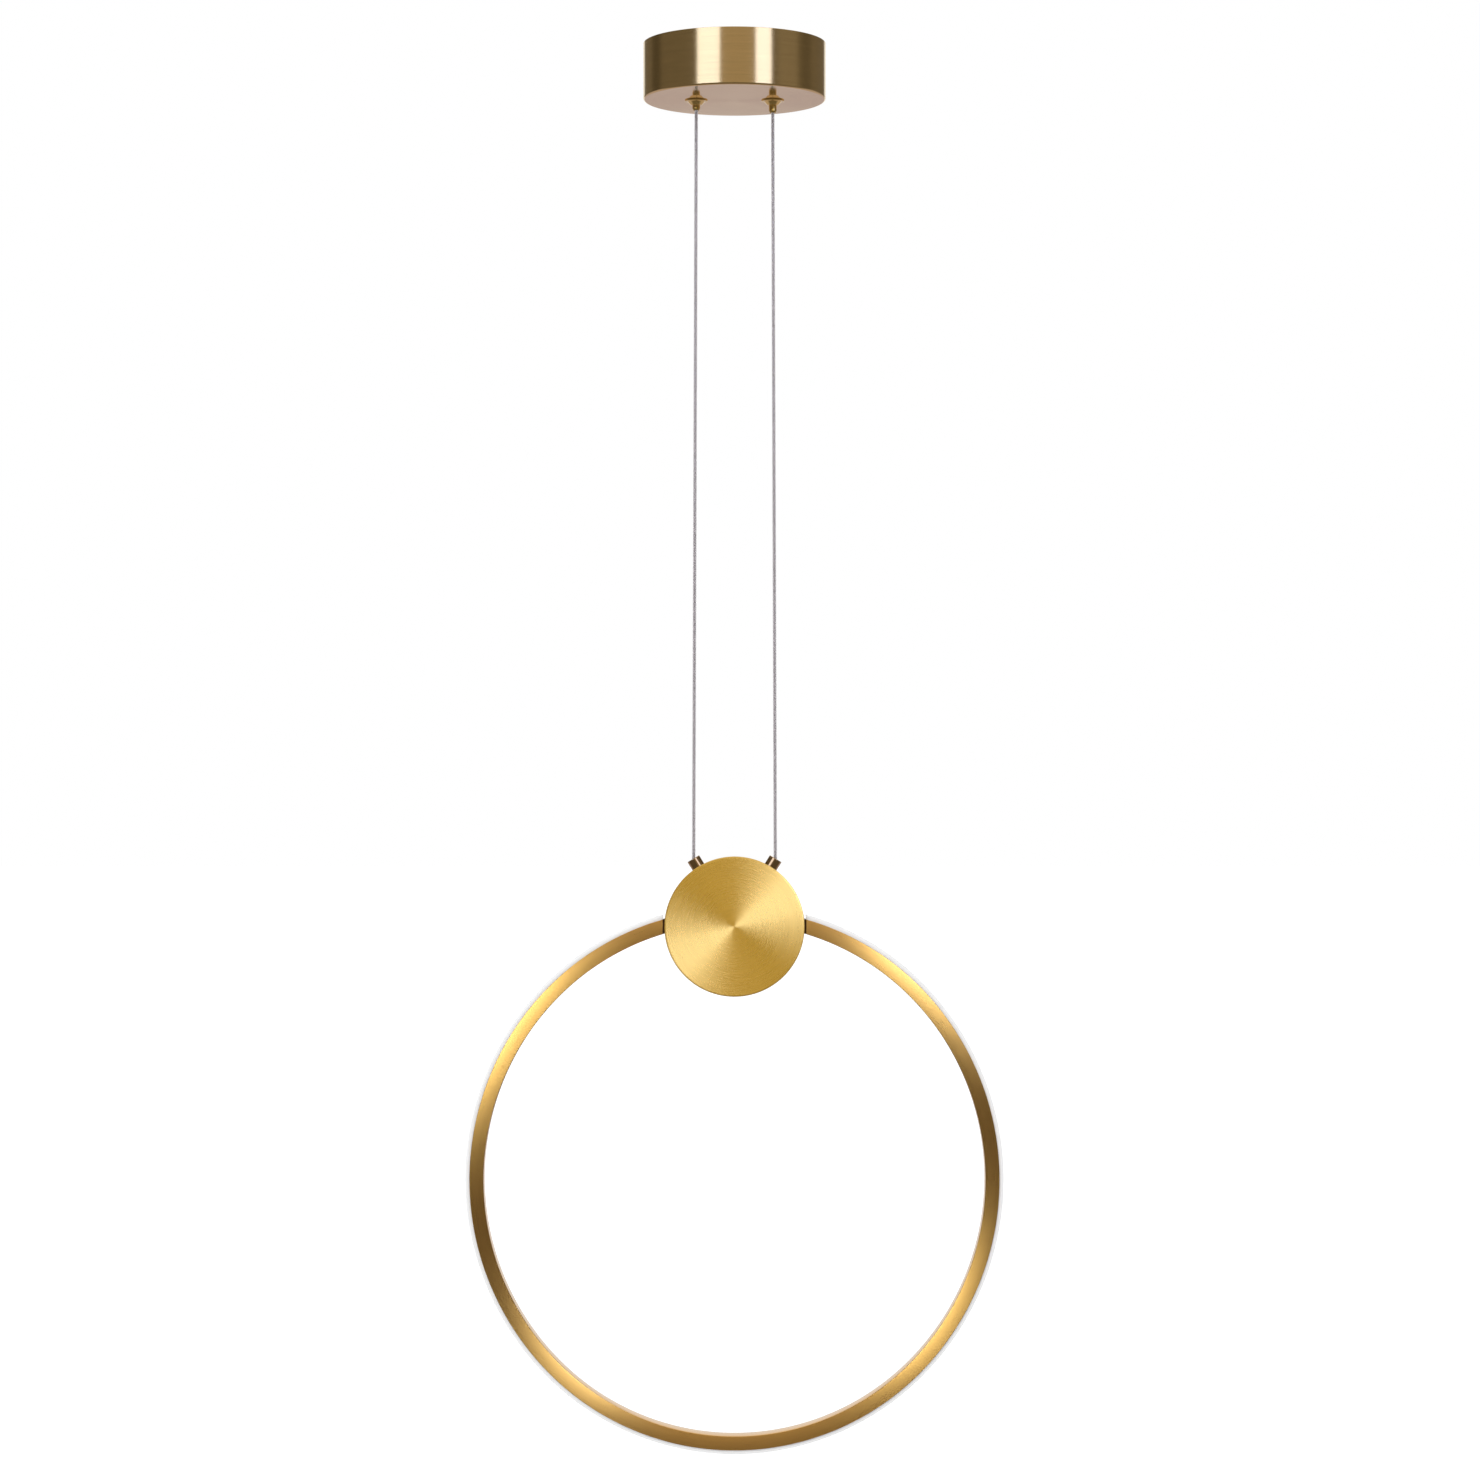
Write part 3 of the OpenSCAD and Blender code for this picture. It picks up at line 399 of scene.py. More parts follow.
def moulded(
    name, colour, roughness=0.42, grain=0.5 * MM, depth=0.01 * MM, contrast=0.04, **more
):
    """Moulded plastic: a fine grain and a slight change of tone."""
    finish = Finish(name)
    fine = finish.noise(finish.place, scale=1 / grain, detail=3.0)
    cloud = finish.noise(finish.place, scale=60.0)
    finish.tint(finish.ramp(cloud, 0.3, 0.7), colour, 1 - contrast, 1 + contrast)
    rough = finish.ramp(fine, 0.3, 0.7, roughness * 0.88, roughness * 1.12)
    finish.set(Roughness=rough, **more)
    finish.bump(fine, 0.3, depth)
    return finish.material


def wire_cover(word, use):
    return moulded(f"{word} {use}", INSULATION[word], roughness=0.3)


def opal(name, colour):
    """Opal plastic: light sinks a little way into it, under a silky surface."""
    return moulded(
        name, colour, roughness=0.36, grain=0.9 * MM, depth=0.004 * MM, contrast=0.012, IOR=1.49,
        Subsurface_Weight=0.35, Subsurface_Radius=(1.0, 0.96, 0.92), Subsurface_Scale=2.5 * MM,
    )


def clear_plastic(name, colour, clearness=1.0):
    """Clear flexible plastic with the faint ripple of an extruded jacket."""
    finish = Finish(name)
    ripple = finish.noise(finish.vector("MULTIPLY", finish.place, (900.0, 900.0, 60.0)))
    finish.tint(finish.noise(finish.place, scale=90.0), colour, 0.95, 1.05)
    rough = finish.ramp(ripple, 0.2, 0.8, 0.06, 0.18)
    finish.set(Transmission_Weight=clearness, IOR=1.47, Roughness=rough)
    finish.bump(ripple, 0.2, 0.01 * MM)
    return finish.material


def tinned_wire(name, colour):
    """Tinned copper strands, bright on their crowns."""
    finish = Finish(name)
    tin = finish.noise(finish.place, scale=1500.0, detail=3.0)
    finish.tint(tin, colour, 0.88, 1.12)
    finish.set(Metallic=1.0, Roughness=finish.ramp(tin, 0.2, 0.8, 0.2, 0.38))
    finish.bump(tin, 0.2, 0.004 * MM)
    return finish.material


def circuit_board(name):
    """Green solder mask with paler copper tracks beneath it and tinned pads."""
    finish = Finish(name)
    tracks = finish.shade(
        "TexBrick",
        {"Vector": finish.scaled(finish.place, 260.0), "Color1": BLACK, "Color2": BLACK,
         "Mortar": WHITE, "Mortar Size": 0.05, "Scale": 1.0},
    )["Color"]
    pads = finish.shade("TexVoronoi", {"Vector": finish.place, "Scale": 300.0})["Distance"]
    mask = finish.mix(tracks, (0.02, 0.12, 0.05, 1), (0.05, 0.22, 0.09, 1))
    tinned = finish.ramp(pads, 0.16, 0.20, 1.0, 0.0)
    finish.set(
        Base_Color=finish.mix(tinned, mask, (0.62, 0.60, 0.55, 1)), Metallic=tinned,
        Roughness=finish.ramp(tinned, 0.0, 1.0, 0.32, 0.25),
    )
    finish.bump(tracks, 0.4, 0.03 * MM)
    return finish.material


def foam(name):
    """Black cellular foam."""
    finish = Finish(name)
    cells = finish.shade("TexVoronoi", {"Vector": finish.place, "Scale": 1400.0})["Distance"]
    finish.set(
        Base_Color=finish.mix(cells, (0.008, 0.008, 0.009, 1), (0.05, 0.05, 0.052, 1)),
        Roughness=finish.ramp(cells, 0.0, 1.0, 0.75, 0.95),
    )
    finish.bump(cells, 0.8, 0.2 * MM)
    return finish.material


def wound_tape(name):
    """Amber tape wound round a transformer, in overlapping turns."""
    finish = Finish(name)
    turns = finish.shade(
        "TexWave", {"Vector": finish.place, "Scale": 110.0, "Distortion": 0.6, "Detail": 2.0},
        bands_direction="Z",
    )["Fac"]
    finish.set(
        Base_Color=finish.mix(turns, (0.42, 0.25, 0.03, 1), (0.62, 0.42, 0.07, 1)),
        Roughness=finish.ramp(turns, 0.0, 1.0, 0.2, 0.34),
    )
    finish.bump(turns, 0.4, 0.05 * MM)
    return finish.material


def phosphor(name):
    """LED phosphor: a yellow gel with fine grains."""
    finish = Finish(name)
    grains = finish.noise(finish.place, scale=5000.0, detail=3.0)
    finish.set(
        Base_Color=finish.mix(grains, (0.85, 0.62, 0.10, 1), (0.95, 0.80, 0.25, 1)),
        Roughness=finish.ramp(grains, 0.2, 0.8, 0.25, 0.45),
    )
    finish.bump(grains, 0.2, 0.01 * MM)
    return finish.material


# Building pieces


def link(name, mesh):
    made = bpy.data.objects.new(name, mesh)
    bpy.context.scene.collection.objects.link(made)
    return made


def join_frame(piece, body, *nodes):
    """The piece moves with a body, and stands for these CAD nodes, which are hidden."""
    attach(piece, body)
    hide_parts(*nodes)
    return piece


def crease(shape, sharp):
    """Smooth faces, with edges that turn by more than sharp degrees kept sharp."""
    for face in shape.faces:
        face.smooth = True
    for edge in shape.edges:
        edge.smooth = edge.is_manifold and edge.calc_face_angle(0) < math.radians(sharp)


def dress(node, name, *materials, rounding=0.0, sharp=SHARP, order=None):
    """A clean copy of a CAD node in its place: flat faces whole, edges rounded, one material to
    each solid. With several materials, order is the axis along which the solids are counted."""
    mesh = NODES[node].data.copy()
    mesh.materials.clear()
    for material in materials:
        mesh.materials.append(material)
    if "custom_normal" in mesh.attributes:
        mesh.attributes.remove(mesh.attributes["custom_normal"])
    shape = bmesh.new()
    shape.from_mesh(mesh)
    bmesh.ops.remove_doubles(shape, verts=shape.verts, dist=WELD_CAD)
    bmesh.ops.dissolve_degenerate(shape, edges=shape.edges, dist=WELD)
    bmesh.ops.dissolve_limit(
        shape, angle_limit=math.radians(FLAT), verts=shape.verts, edges=shape.edges
    )
    crease(shape, sharp)
    for face in shape.faces:
        face.material_index = 0
    if len(materials) > 1:
        for index, solid in enumerate(solids_of(shape, order)):
            for face in solid:
                face.material_index = min(index, len(materials) - 1)
    shape.to_mesh(mesh)
    shape.free()
    piece = link(name, mesh)
    if rounding:
        edge_round = piece.modifiers.new("edges", "BEVEL")
        edge_round.width = rounding
        edge_round.segments = 2
        edge_round.limit_method = "ANGLE"
        edge_round.angle_limit = math.radians(sharp)
        even_shading(piece)
    return join_frame(piece, NODES[node]["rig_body"], node)


def solids_of(shape, order):
    """The faces of each separate solid, counted along an axis by the solids' middles."""
    left = set(shape.faces)
    found = []
    while left:
        waiting = [left.pop()]
        solid = []
        while waiting:
            face = waiting.pop()
            solid.append(face)
            near = {other for edge in face.edges for other in edge.link_faces} & left
            left -= near
            waiting.extend(near)
        found.append(solid)

    def middle(solid):
        return sum(face.calc_center_median()[order] for face in solid) / len(solid)

    return sorted(found, key=middle)


def turn(name, profile, material, segments=96):
    """A clean turned piece about the Z axis, from a line that starts and ends on the axis."""
    mesh = bpy.data.meshes.new(name)
    shape = bmesh.new()
    corners = [shape.verts.new((x, 0, z)) for x, z, _ in profile]
    edges = [shape.edges.new(pair) for pair in zip(corners, corners[1:])]
    bmesh.ops.spin(
        shape, geom=corners + edges, cent=(0, 0, 0), axis=UP, angle=2 * math.pi,
        steps=segments, use_merge=True,
    )
    bmesh.ops.remove_doubles(shape, verts=shape.verts, dist=WELD)
    bmesh.ops.recalc_face_normals(shape, faces=shape.faces)
    crease(shape, SHARP)
    shape.to_mesh(mesh)
    shape.free()
    mesh.materials.append(material)
    return link(name, mesh)


def even_shading(piece):
    """Lets large faces lead the shading, so that flat faces look flat next to rounded edges."""
    even = piece.modifiers.new("even shading", "WEIGHTED_NORMAL")
    even.keep_sharp = True


def modified(piece, **settings):
    """A new mesh that holds what a piece's modifiers make of it."""
    depsgraph = bpy.context.evaluated_depsgraph_get()
    shown = piece.evaluated_get(depsgraph)
    return bpy.data.meshes.new_from_object(shown, depsgraph=depsgraph, **settings)


def drill(piece, centre, axis, radius, depth):
    """Drills a round hole through a piece's mesh."""
    tool_mesh = bpy.data.meshes.new("drill")
    shape = bmesh.new()
    bmesh.ops.create_cone(
        shape, cap_ends=True, segments=48, radius1=radius, radius2=radius, depth=depth,
        matrix=Matrix.Translation(centre) @ axis.to_track_quat("Z", "Y").to_matrix().to_4x4(),
    )
    shape.to_mesh(tool_mesh)
    shape.free()
    tool = link("drill", tool_mesh)
    cut = piece.modifiers.new("hole", "BOOLEAN")
    cut.operation, cut.solver, cut.object = "DIFFERENCE", "EXACT", tool
    piece.data = modified(piece)
    piece.modifiers.remove(cut)
    bpy.data.objects.remove(tool)


def line_object(name, points, closed=False, **attributes):
    """A mesh that is one line of points, with a value of each named attribute for each point."""
    mesh = bpy.data.meshes.new(name)
    count = len(points)
    edges = [(i, (i + 1) % count) for i in range(count if closed else count - 1)]
    mesh.from_pydata([tuple(p) for p in points], edges, [])
    for key, values in attributes.items():
        mesh.attributes.new(key, "FLOAT", "POINT").data.foreach_set("value", values)
    return link(name, mesh)


def grow(host, tree, name, **inputs):
    """The plain mesh that a Geometry Nodes tree makes from a host object, which is then removed."""
    modifier = host.modifiers.new("grow", "NODES")
    modifier.node_group = tree
    items = tree.interface.items_tree
    sockets = {item.name: item.identifier for item in items if item.in_out == "INPUT"}
    for key, value in inputs.items():
        modifier[sockets[key.replace("_", " ").capitalize()]] = value
    mesh = modified(host, preserve_all_data_layers=True)
    host.modifiers.remove(modifier)
    bpy.data.objects.remove(host)
    mesh.name = name
    return link(name, mesh)


def geometry_tree(name, inputs):
    """A Geometry Nodes tree with these named inputs, and its group input and output nodes."""
    group = bpy.data.node_groups.new(name, "GeometryNodeTree")
    group.interface.new_socket("Geometry", in_out="OUTPUT", socket_type="NodeSocketGeometry")
    for label, kind in {"Geometry": "Geometry", **inputs, "Material": "Material"}.items():
        group.interface.new_socket(label, in_out="INPUT", socket_type="NodeSocket" + kind)
    tree = Tree(group)
    return tree, tree.add("NodeGroupInput").outputs, tree.add("NodeGroupOutput").inputs


def finish_tree(tree, mesh, material, output, sharp=SHARP):
    """Ends a tree: smooth faces with sharp edges kept, real geometry and its material."""
    bent = tree.math("GREATER_THAN", tree.geo("InputMeshEdgeAngle"), math.radians(sharp))
    smooth = tree.geo("SetShadeSmooth", {"Geometry": mesh, "Shade Smooth": True}, domain="FACE")
    creased = tree.geo(
        "SetShadeSmooth", {"Geometry": smooth, "Selection": bent, "Shade Smooth": False},
        domain="EDGE",
    )
    real = tree.geo("RealizeInstances", {"Geometry": creased})
    tree.give(output["Geometry"], tree.geo("SetMaterial", {"Geometry": real, "Material": material}))
    return tree.tree


def captured(tree, geometry, **fields):
    """Keeps fields on a curve's points. Returns the geometry, then each kept field."""
    made = tree.add("GeometryNodeCaptureAttribute", domain="POINT")
    for key, (kind, value) in fields.items():
        made.capture_items.new(kind, key)
        tree.give(made.inputs[key], value)
    tree.give(made.inputs["Geometry"], geometry)
    return [made.outputs["Geometry"], *(made.outputs[key] for key in fields)]


def joined(tree, *parts):
    made = tree.add("GeometryNodeJoinGeometry")
    for part in parts:
        tree.tree.links.new(part, made.inputs[0])
    return made.outputs[0]


def swept(tree, curve, profile, scale=1.0):
    return tree.geo(
        "CurveToMesh",
        {"Curve": curve, "Profile Curve": profile, "Fill Caps": True, "Scale": scale},
    )


def sweep_tree():
    """A closed profile swept along the ring's line, its two ends cut round the hub.
    It keeps its length and girth as a UV map, and the way that it runs as an attribute."""
    tree, given, output = geometry_tree(
        "ring sweep",
        {"Profile": "Object", "Cut radius": "Float", "Arc height": "Float", "Hub height": "Float"},
    )
    line = tree.geo("MeshToCurve", {"Mesh": given["Geometry"]})
    upright = tree.add("GeometryNodeSetCurveNormal", {"Curve": line}, mode="FREE")
    tree.give(upright.inputs["Normal"], BACK)
    spline = tree.add("GeometryNodeSplineParameter").outputs
    path, share, along, way = captured(
        tree, upright.outputs[0], share=("FLOAT", spline["Factor"]),
        along=("FLOAT", spline["Length"]), way=("VECTOR", tree.geo("InputTangent")),
    )
    section = tree.add("GeometryNodeObjectInfo", {"Object": given["Profile"]}).outputs["Geometry"]
    loop = tree.geo("MeshToCurve", {"Mesh": section})
    profile, across = captured(tree, loop, across=("FLOAT", spline["Length"]))
    band = swept(tree, path, profile)
    # Each end point slides along its own arc to where that arc meets the circle round the hub
    x, y, z = tree.separate(tree.geo("InputPosition"))
    low = tree.minus(z, given["Arc height"])
    rise = tree.minus(given["Hub height"], given["Arc height"])
    own_r2 = tree.plus(tree.times(x, x), tree.times(low, low))
    cut_r2 = tree.times(given["Cut radius"], given["Cut radius"])
    reach = tree.plus(tree.minus(own_r2, cut_r2), tree.times(rise, rise))
    met = tree.over(reach, tree.times(rise, 2.0))
    side = tree.math("SQRT", tree.minus(own_r2, tree.times(met, met)))
    end_x = tree.times(side, tree.math("SIGN", x))
    end_place = tree.combine(end_x, y, tree.plus(met, given["Arc height"]))
    at_end = tree.math("GREATER_THAN", tree.size(tree.minus(share, 0.5)), 0.4999)
    fitted = tree.geo("SetPosition", {"Geometry": band, "Selection": at_end, "Position": end_place})
    flat = tree.geo(
        "StoreNamedAttribute",
        {"Geometry": fitted, "Name": "UVMap", "Value": tree.combine(along, across)},
        data_type="FLOAT2", domain="CORNER",
    )
    kept = tree.geo(
        "StoreNamedAttribute", {"Geometry": flat, "Name": "run", "Value": way},
        data_type="FLOAT_VECTOR", domain="POINT",
    )
    return finish_tree(tree, kept, given["Material"], output)


def tube_tree():
    """A round tube along a line, as thick as each of its points says, and a bore inside it."""
    tree, given, output = geometry_tree(
        "cable jacket", {"Radius": "Float", "Bore": "Float", "Sides": "Int"}
    )
    girth, bored = (
        tree.geo("InputNamedAttribute", {"Name": name}, data_type="FLOAT")
        for name in ("girth", "bored")
    )
    inside = tree.math("GREATER_THAN", bored, 0.5)
    hollow = tree.geo("SeparateGeometry", {"Geometry": given["Geometry"], "Selection": inside})
    shells = []
    for line, radius, scale in (
        (given["Geometry"], given["Radius"], girth), (hollow, given["Bore"], 1.0),
    ):
        curve = tree.geo("MeshToCurve", {"Mesh": line})
        ring = tree.geo("CurvePrimitiveCircle", {"Resolution": given["Sides"], "Radius": radius})
        shells.append(swept(tree, curve, ring, scale))
    both = joined(tree, shells[0], tree.geo("FlipFaces", {"Mesh": shells[1]}))
    return finish_tree(tree, both, given["Material"], output, sharp=60.0)


def strand_tree():
    """Strands laid in a helix round a middle one, along a line."""
    tree, given, output = geometry_tree(
        "stranded core", {"Core radius": "Float", "Strands": "Int", "Lay": "Float", "Step": "Float"}
    )
    line = tree.geo("MeshToCurve", {"Mesh": given["Geometry"]})
    fine = tree.geo("ResampleCurve", {"Curve": line, "Length": given["Step"]}, mode="LENGTH")
    copies = tree.add(
        "GeometryNodeDuplicateElements", {"Geometry": fine, "Amount": given["Strands"]},
        domain="SPLINE",
    ).outputs
    along = tree.add("GeometryNodeSplineParameter").outputs["Length"]
    start = tree.over(copies["Duplicate Index"], given["Strands"])
    angle = tree.times(tree.plus(tree.over(along, given["Lay"]), start), 2 * math.pi)
    lay_r = tree.times(given["Core radius"], 2 / 3)
    x, y = (tree.times(lay_r, tree.math(way, angle)) for way in ("COSINE", "SINE"))
    offset = tree.combine(x, y)
    laid = tree.geo("SetPosition", {"Geometry": copies["Geometry"], "Offset": offset})
    strand_r = tree.times(given["Core radius"], STRAND_SHARE)
    ring = tree.geo("CurvePrimitiveCircle", {"Resolution": 6, "Radius": strand_r})
    made = swept(tree, joined(tree, laid, line), ring)
    return finish_tree(tree, made, given["Material"], output, sharp=75.0)


def rounded_profile(corners, steps=5):
    """The points of a closed outline, each corner given as x, y and its radius, in metres."""
    points = []
    count = len(corners)
    for i, (x, y, radius) in enumerate(corners):
        here = Vector((x, y))
        if not radius:
            points.append((x, y, 0))
            continue
        before = (Vector(corners[i - 1][:2]) - here).normalized()
        after = (Vector(corners[(i + 1) % count][:2]) - here).normalized()
        half = before.angle(after) / 2
        reach = radius / math.tan(half)
        centre = here + (before + after).normalized() * (radius / math.sin(half))
        start = here + before * reach - centre
        end = here + after * reach - centre
        for k in range(steps + 1):
            share = k / steps
            arm = start.slerp(end, share) if start.angle(end) > 1e-6 else start
            points.append((*(centre + arm.normalized() * radius), 0))
    return points


def ring_line(step=1.5):
    """The middle of the ring's band, from the hub's left side down and round to its right side,
    in steps of some degrees."""
    stop = math.degrees(math.asin(CUT_R / END_R)) - END_SPARE
    arcs = (
        (0, TOP_ARC_Z, END_R, 90 + stop, 135),
        (ARC_SHIFT, RING_Z, SIDE_R, 135, 225),
        (0, RING_Z - ARC_SHIFT, END_R, 225, 315),
        (-ARC_SHIFT, RING_Z, SIDE_R, -45, 45),
        (0, TOP_ARC_Z, END_R, 45, 90 - stop),
    )
    points = []
    for x, z, radius, a0, a1 in arcs:
        count = math.ceil(abs(a1 - a0) / step)
        for k in range(count):
            a = math.radians(a0 + (a1 - a0) * k / count)
            points.append(Vector((x + radius * math.cos(a), 0, z + radius * math.sin(a))))
    a = math.radians(arcs[-1][4])
    points.append(Vector((END_R * math.cos(a), 0, TOP_ARC_Z + END_R * math.sin(a))))
    return points


def ferrule_axis(side):
    return Vector((side * math.sin(FERRULE_ANGLE), 0, math.cos(FERRULE_ANGLE)))


def cable_route(side, count=24):
    """The points of one free cable, from its outlet down to its foot."""
    outlet = Vector((side * GRIP_X, 0, OUTLET_Z))
    foot = HUB + FOOT_REACH * ferrule_axis(side)
    return [outlet.lerp(foot, k / (count - 1)) for k in range(count)]


def settings(context):
    return context.scene.pendant_sizes, context.scene.pendant_finishes


# Operators


class PENDANT_OT_studio(bpy.types.Operator):
    """Camera, soft studio light, white backdrop and floor"""

    bl_idname = "pendant.studio"
    bl_label = "Studio"

    # Where the camera of the picture stands, and its lens
    CAMERA = Vector((4.1 * MM, -2.72, -518.5 * MM))
    LENS = 88.8
    FLOOR_Z = -2.7
    FLOOR_HALF = 60.0
    # What polished metal sees round it: azimuth from the front, elevation, half width, half
    # height and softness in degrees, then colour. A colour below zero is a dark flag.
    CARDS = (
        (4, 14, 21, 10, 8, (0.30, 0.24, 0.17)),
        (72, 15, 15, 25, 10, (0.08, 0.07, 0.06)),
        (-117, 15, 10, 25, 14, (-0.07, -0.06, -0.05)),
        (103, 15, 9, 25, 12, (-0.04, -0.035, -0.03)),
    )
    ROOM = (0.150, 0.126, 0.094)
    GROUND = (0.50, 0.43, 0.46)
    OVERHEAD = (0.80, 0.80, 0.85)
    AMBIENT = 0.85
    # The degrees of elevation, or away from straight behind, over which the room changes
    OVERHEAD_FROM = (30, 60)
    GROUND_TOP = (-10, -5)
    GROUND_SIDES = (60, 90)
    BACKDROP_SIDES = (18, 26)
    BACKDROP_FOOT = (-9, -7.5)
    BACKDROP_TOP = (40, 60)
    # Soft boxes for one group of pieces: its name, azimuth and elevation, turn, width and
    # height in degrees, then colour
    BOXES = (
        ("rest", -33, 16, 0, 29, 22, (1.32, 1.46, 2.1)),
        ("rest", 37, 16, 0, 20.5, 22, (1.38, 1.52, 2.3)),
        ("ring", 22.5, 16.5, 47, 40, 11, (4.3, 4.75, 4.7)),
        ("ring", -26, 9.5, -32, 40, 14, (4.1, 4.4, 3.8)),
        ("ring", 0, 24, 90, 40, 24, (0.50, 0.44, 0.28)),
        ("grips", 0, 20, 0, 44, 44, (0.95, 0.78, 0.26)),
        ("disc", 20, 7, 28, 34, 20, (1.95, 2.25, 3.7)),
        ("disc", 0, 10, 0, 110, 90, (0.29, 0.225, 0.055)),
    )
    BOX_DISTANCE = 30.0
    SUN_POWER = 0.7
    SUN_WIDTH = 25
    SUN_TURN = (48, -28, 0)
    FLOOR_GLOW = 0.35
    # The pieces that each group lights. The last group lights all but its own.
    GROUPS = {
        "ring": ("ring_profile",),
        "grips": ("cable_gripper_left", "cable_gripper_right", "plunger_left", "plunger_right"),
        "disc": ("front_disc",),
        "rest": ("ring_profile", "front_disc"),
    }

    def execute(self, context):
        scene = context.scene
        scene.view_settings.view_transform = "Standard"
        camera_data = bpy.data.cameras.new("camera")
        camera_data.lens = self.LENS
        camera_data.sensor_width = 36
        camera_data.clip_start, camera_data.clip_end = 0.05, 200
        camera = bpy.data.objects.new("camera", camera_data)
        camera.location = self.CAMERA
        camera.rotation_euler = (math.radians(90), 0, 0)
        scene.collection.objects.link(camera)
        scene.camera = camera
        self.light_world(scene)
        self.hang_sun(scene)
        self.hang_boxes(scene)
        self.lay_floor()
        return {"FINISHED"}

    def light_world(self, scene):
        """White to the camera, plain light for matt surfaces, a dim room with cards for metal."""
        world = bpy.data.worlds.new("studio")
        scene.world = world
        world.use_nodes = True
        world.cycles.sampling_method = "NONE"
        world.node_tree.nodes.clear()
        tree = Tree(world.node_tree)
        x, y, z = tree.separate(tree.shade("TexCoord")["Generated"])
        azimuth = tree.times(tree.math("ARCTAN2", x, tree.times(y, -1.0)), math.degrees(1))
        elevation = tree.times(tree.math("ARCSINE", z), math.degrees(1))
        behind = tree.minus(180.0, tree.size(azimuth))
        overhead = tree.scaled(self.OVERHEAD, tree.rise(elevation, *self.OVERHEAD_FROM))
        room = tree.vector("ADD", self.ROOM, overhead)
        for middle, height, half_w, half_h, soft, colour in self.CARDS:
            sides = tree.size(tree.minus(azimuth, middle))
            ends = tree.size(tree.minus(elevation, height))
            card = tree.times(
                tree.fade(sides, half_w - soft / 2, half_w + soft / 2),
                tree.fade(ends, half_h - soft / 2, half_h + soft / 2),
            )
            room = tree.vector("ADD", room, tree.scaled(colour, card))
        ground = tree.times(
            tree.fade(elevation, *self.GROUND_TOP), tree.fade(behind, *self.GROUND_SIDES)
        )
        upright = tree.times(
            tree.rise(elevation, *self.BACKDROP_FOOT), tree.fade(elevation, *self.BACKDROP_TOP)
        )
        backdrop = tree.times(tree.fade(behind, *self.BACKDROP_SIDES), upright)
        studio = tree.mix(backdrop, tree.mix(ground, room, (*self.GROUND, 1)), WHITE)
        rays = tree.shade("LightPath")
        plain = tree.mix(rays["Is Diffuse Ray"], studio, (self.AMBIENT,) * 3 + (1,))
        clear = tree.math("MAXIMUM", rays["Is Camera Ray"], rays["Is Transmission Ray"])
        sky = tree.shade("Background", {"Color": tree.mix(clear, plain, WHITE), "Strength": 1.0})
        tree.shade("OutputWorld", {"Surface": sky[0]})

    def hang_boxes(self, scene):
        """Soft boxes that light one group of pieces each, and only their shine."""
        middle = Vector((0, 0, RING_Z / 2))
        for number, (group, azimuth, elevation, turn, wide, high, colour) in enumerate(self.BOXES):
            lamp = bpy.data.lights.new(f"soft box {number}", "AREA")
            lamp.shape = "RECTANGLE"
            lamp.size = 2 * self.BOX_DISTANCE * math.tan(math.radians(wide / 2))
            lamp.size_y = 2 * self.BOX_DISTANCE * math.tan(math.radians(high / 2))
            lamp.color = [channel / max(colour) for channel in colour]
            lamp.energy = 4 * lamp.size * lamp.size_y * max(colour)
            box = bpy.data.objects.new(f"soft box {number}", lamp)
            a, e = math.radians(azimuth), math.radians(elevation)
            away = Vector((math.sin(a) * math.cos(e), -math.cos(a) * math.cos(e), math.sin(e)))
            box.location = middle + away * self.BOX_DISTANCE
            facing = away.to_track_quat("Z", "Y")
            box.rotation_euler = (facing @ Quaternion((0, 0, 1), math.radians(turn))).to_euler()
            box.visible_diffuse = box.visible_transmission = box.visible_camera = False
            scene.collection.objects.link(box)
            box["group"] = group

    def hang_sun(self, scene):
        lamp = bpy.data.lights.new("soft key", "SUN")
        lamp.energy = self.SUN_POWER
        lamp.angle = math.radians(self.SUN_WIDTH)
        key = bpy.data.objects.new("soft key", lamp)
        key.rotation_euler = [math.radians(angle) for angle in self.SUN_TURN]
        key.visible_glossy = False
        scene.collection.objects.link(key)

    def lay_floor(self):
        corners = [
            (x * self.FLOOR_HALF, y * self.FLOOR_HALF, self.FLOOR_Z)
            for x, y in ((-1, -1), (1, -1), (1, 1), (-1, 1))
        ]
        mesh = bpy.data.meshes.new("floor")
        mesh.from_pydata(corners, [], [(0, 1, 2, 3)])
        material = bpy.data.materials.new("pale floor")
        material.use_nodes = True
        material.node_tree.nodes.clear()
        tree = Tree(material.node_tree)
        rays = tree.shade("LightPath")
        cloud = tree.noise(tree.shade("TexCoord")["Object"], scale=1.5)
        paint = tree.mix(cloud, (0.84, 0.84, 0.84, 1), (0.88, 0.88, 0.88, 1))
        seen = tree.math("MAXIMUM", rays["Is Camera Ray"], rays["Is Transmission Ray"])
        matt = tree.shade("BsdfDiffuse", {"Color": paint})[0]
        strength = tree.times(seen, self.FLOOR_GLOW)
        glow = tree.shade("Emission", {"Color": WHITE, "Strength": strength})[0]
        both = tree.shade("AddShader", {0: matt, 1: glow})[0]
        tree.shade("OutputMaterial", {"Surface": both})
        mesh.materials.append(material)
        floor = link("floor", mesh)
        floor.visible_glossy = False


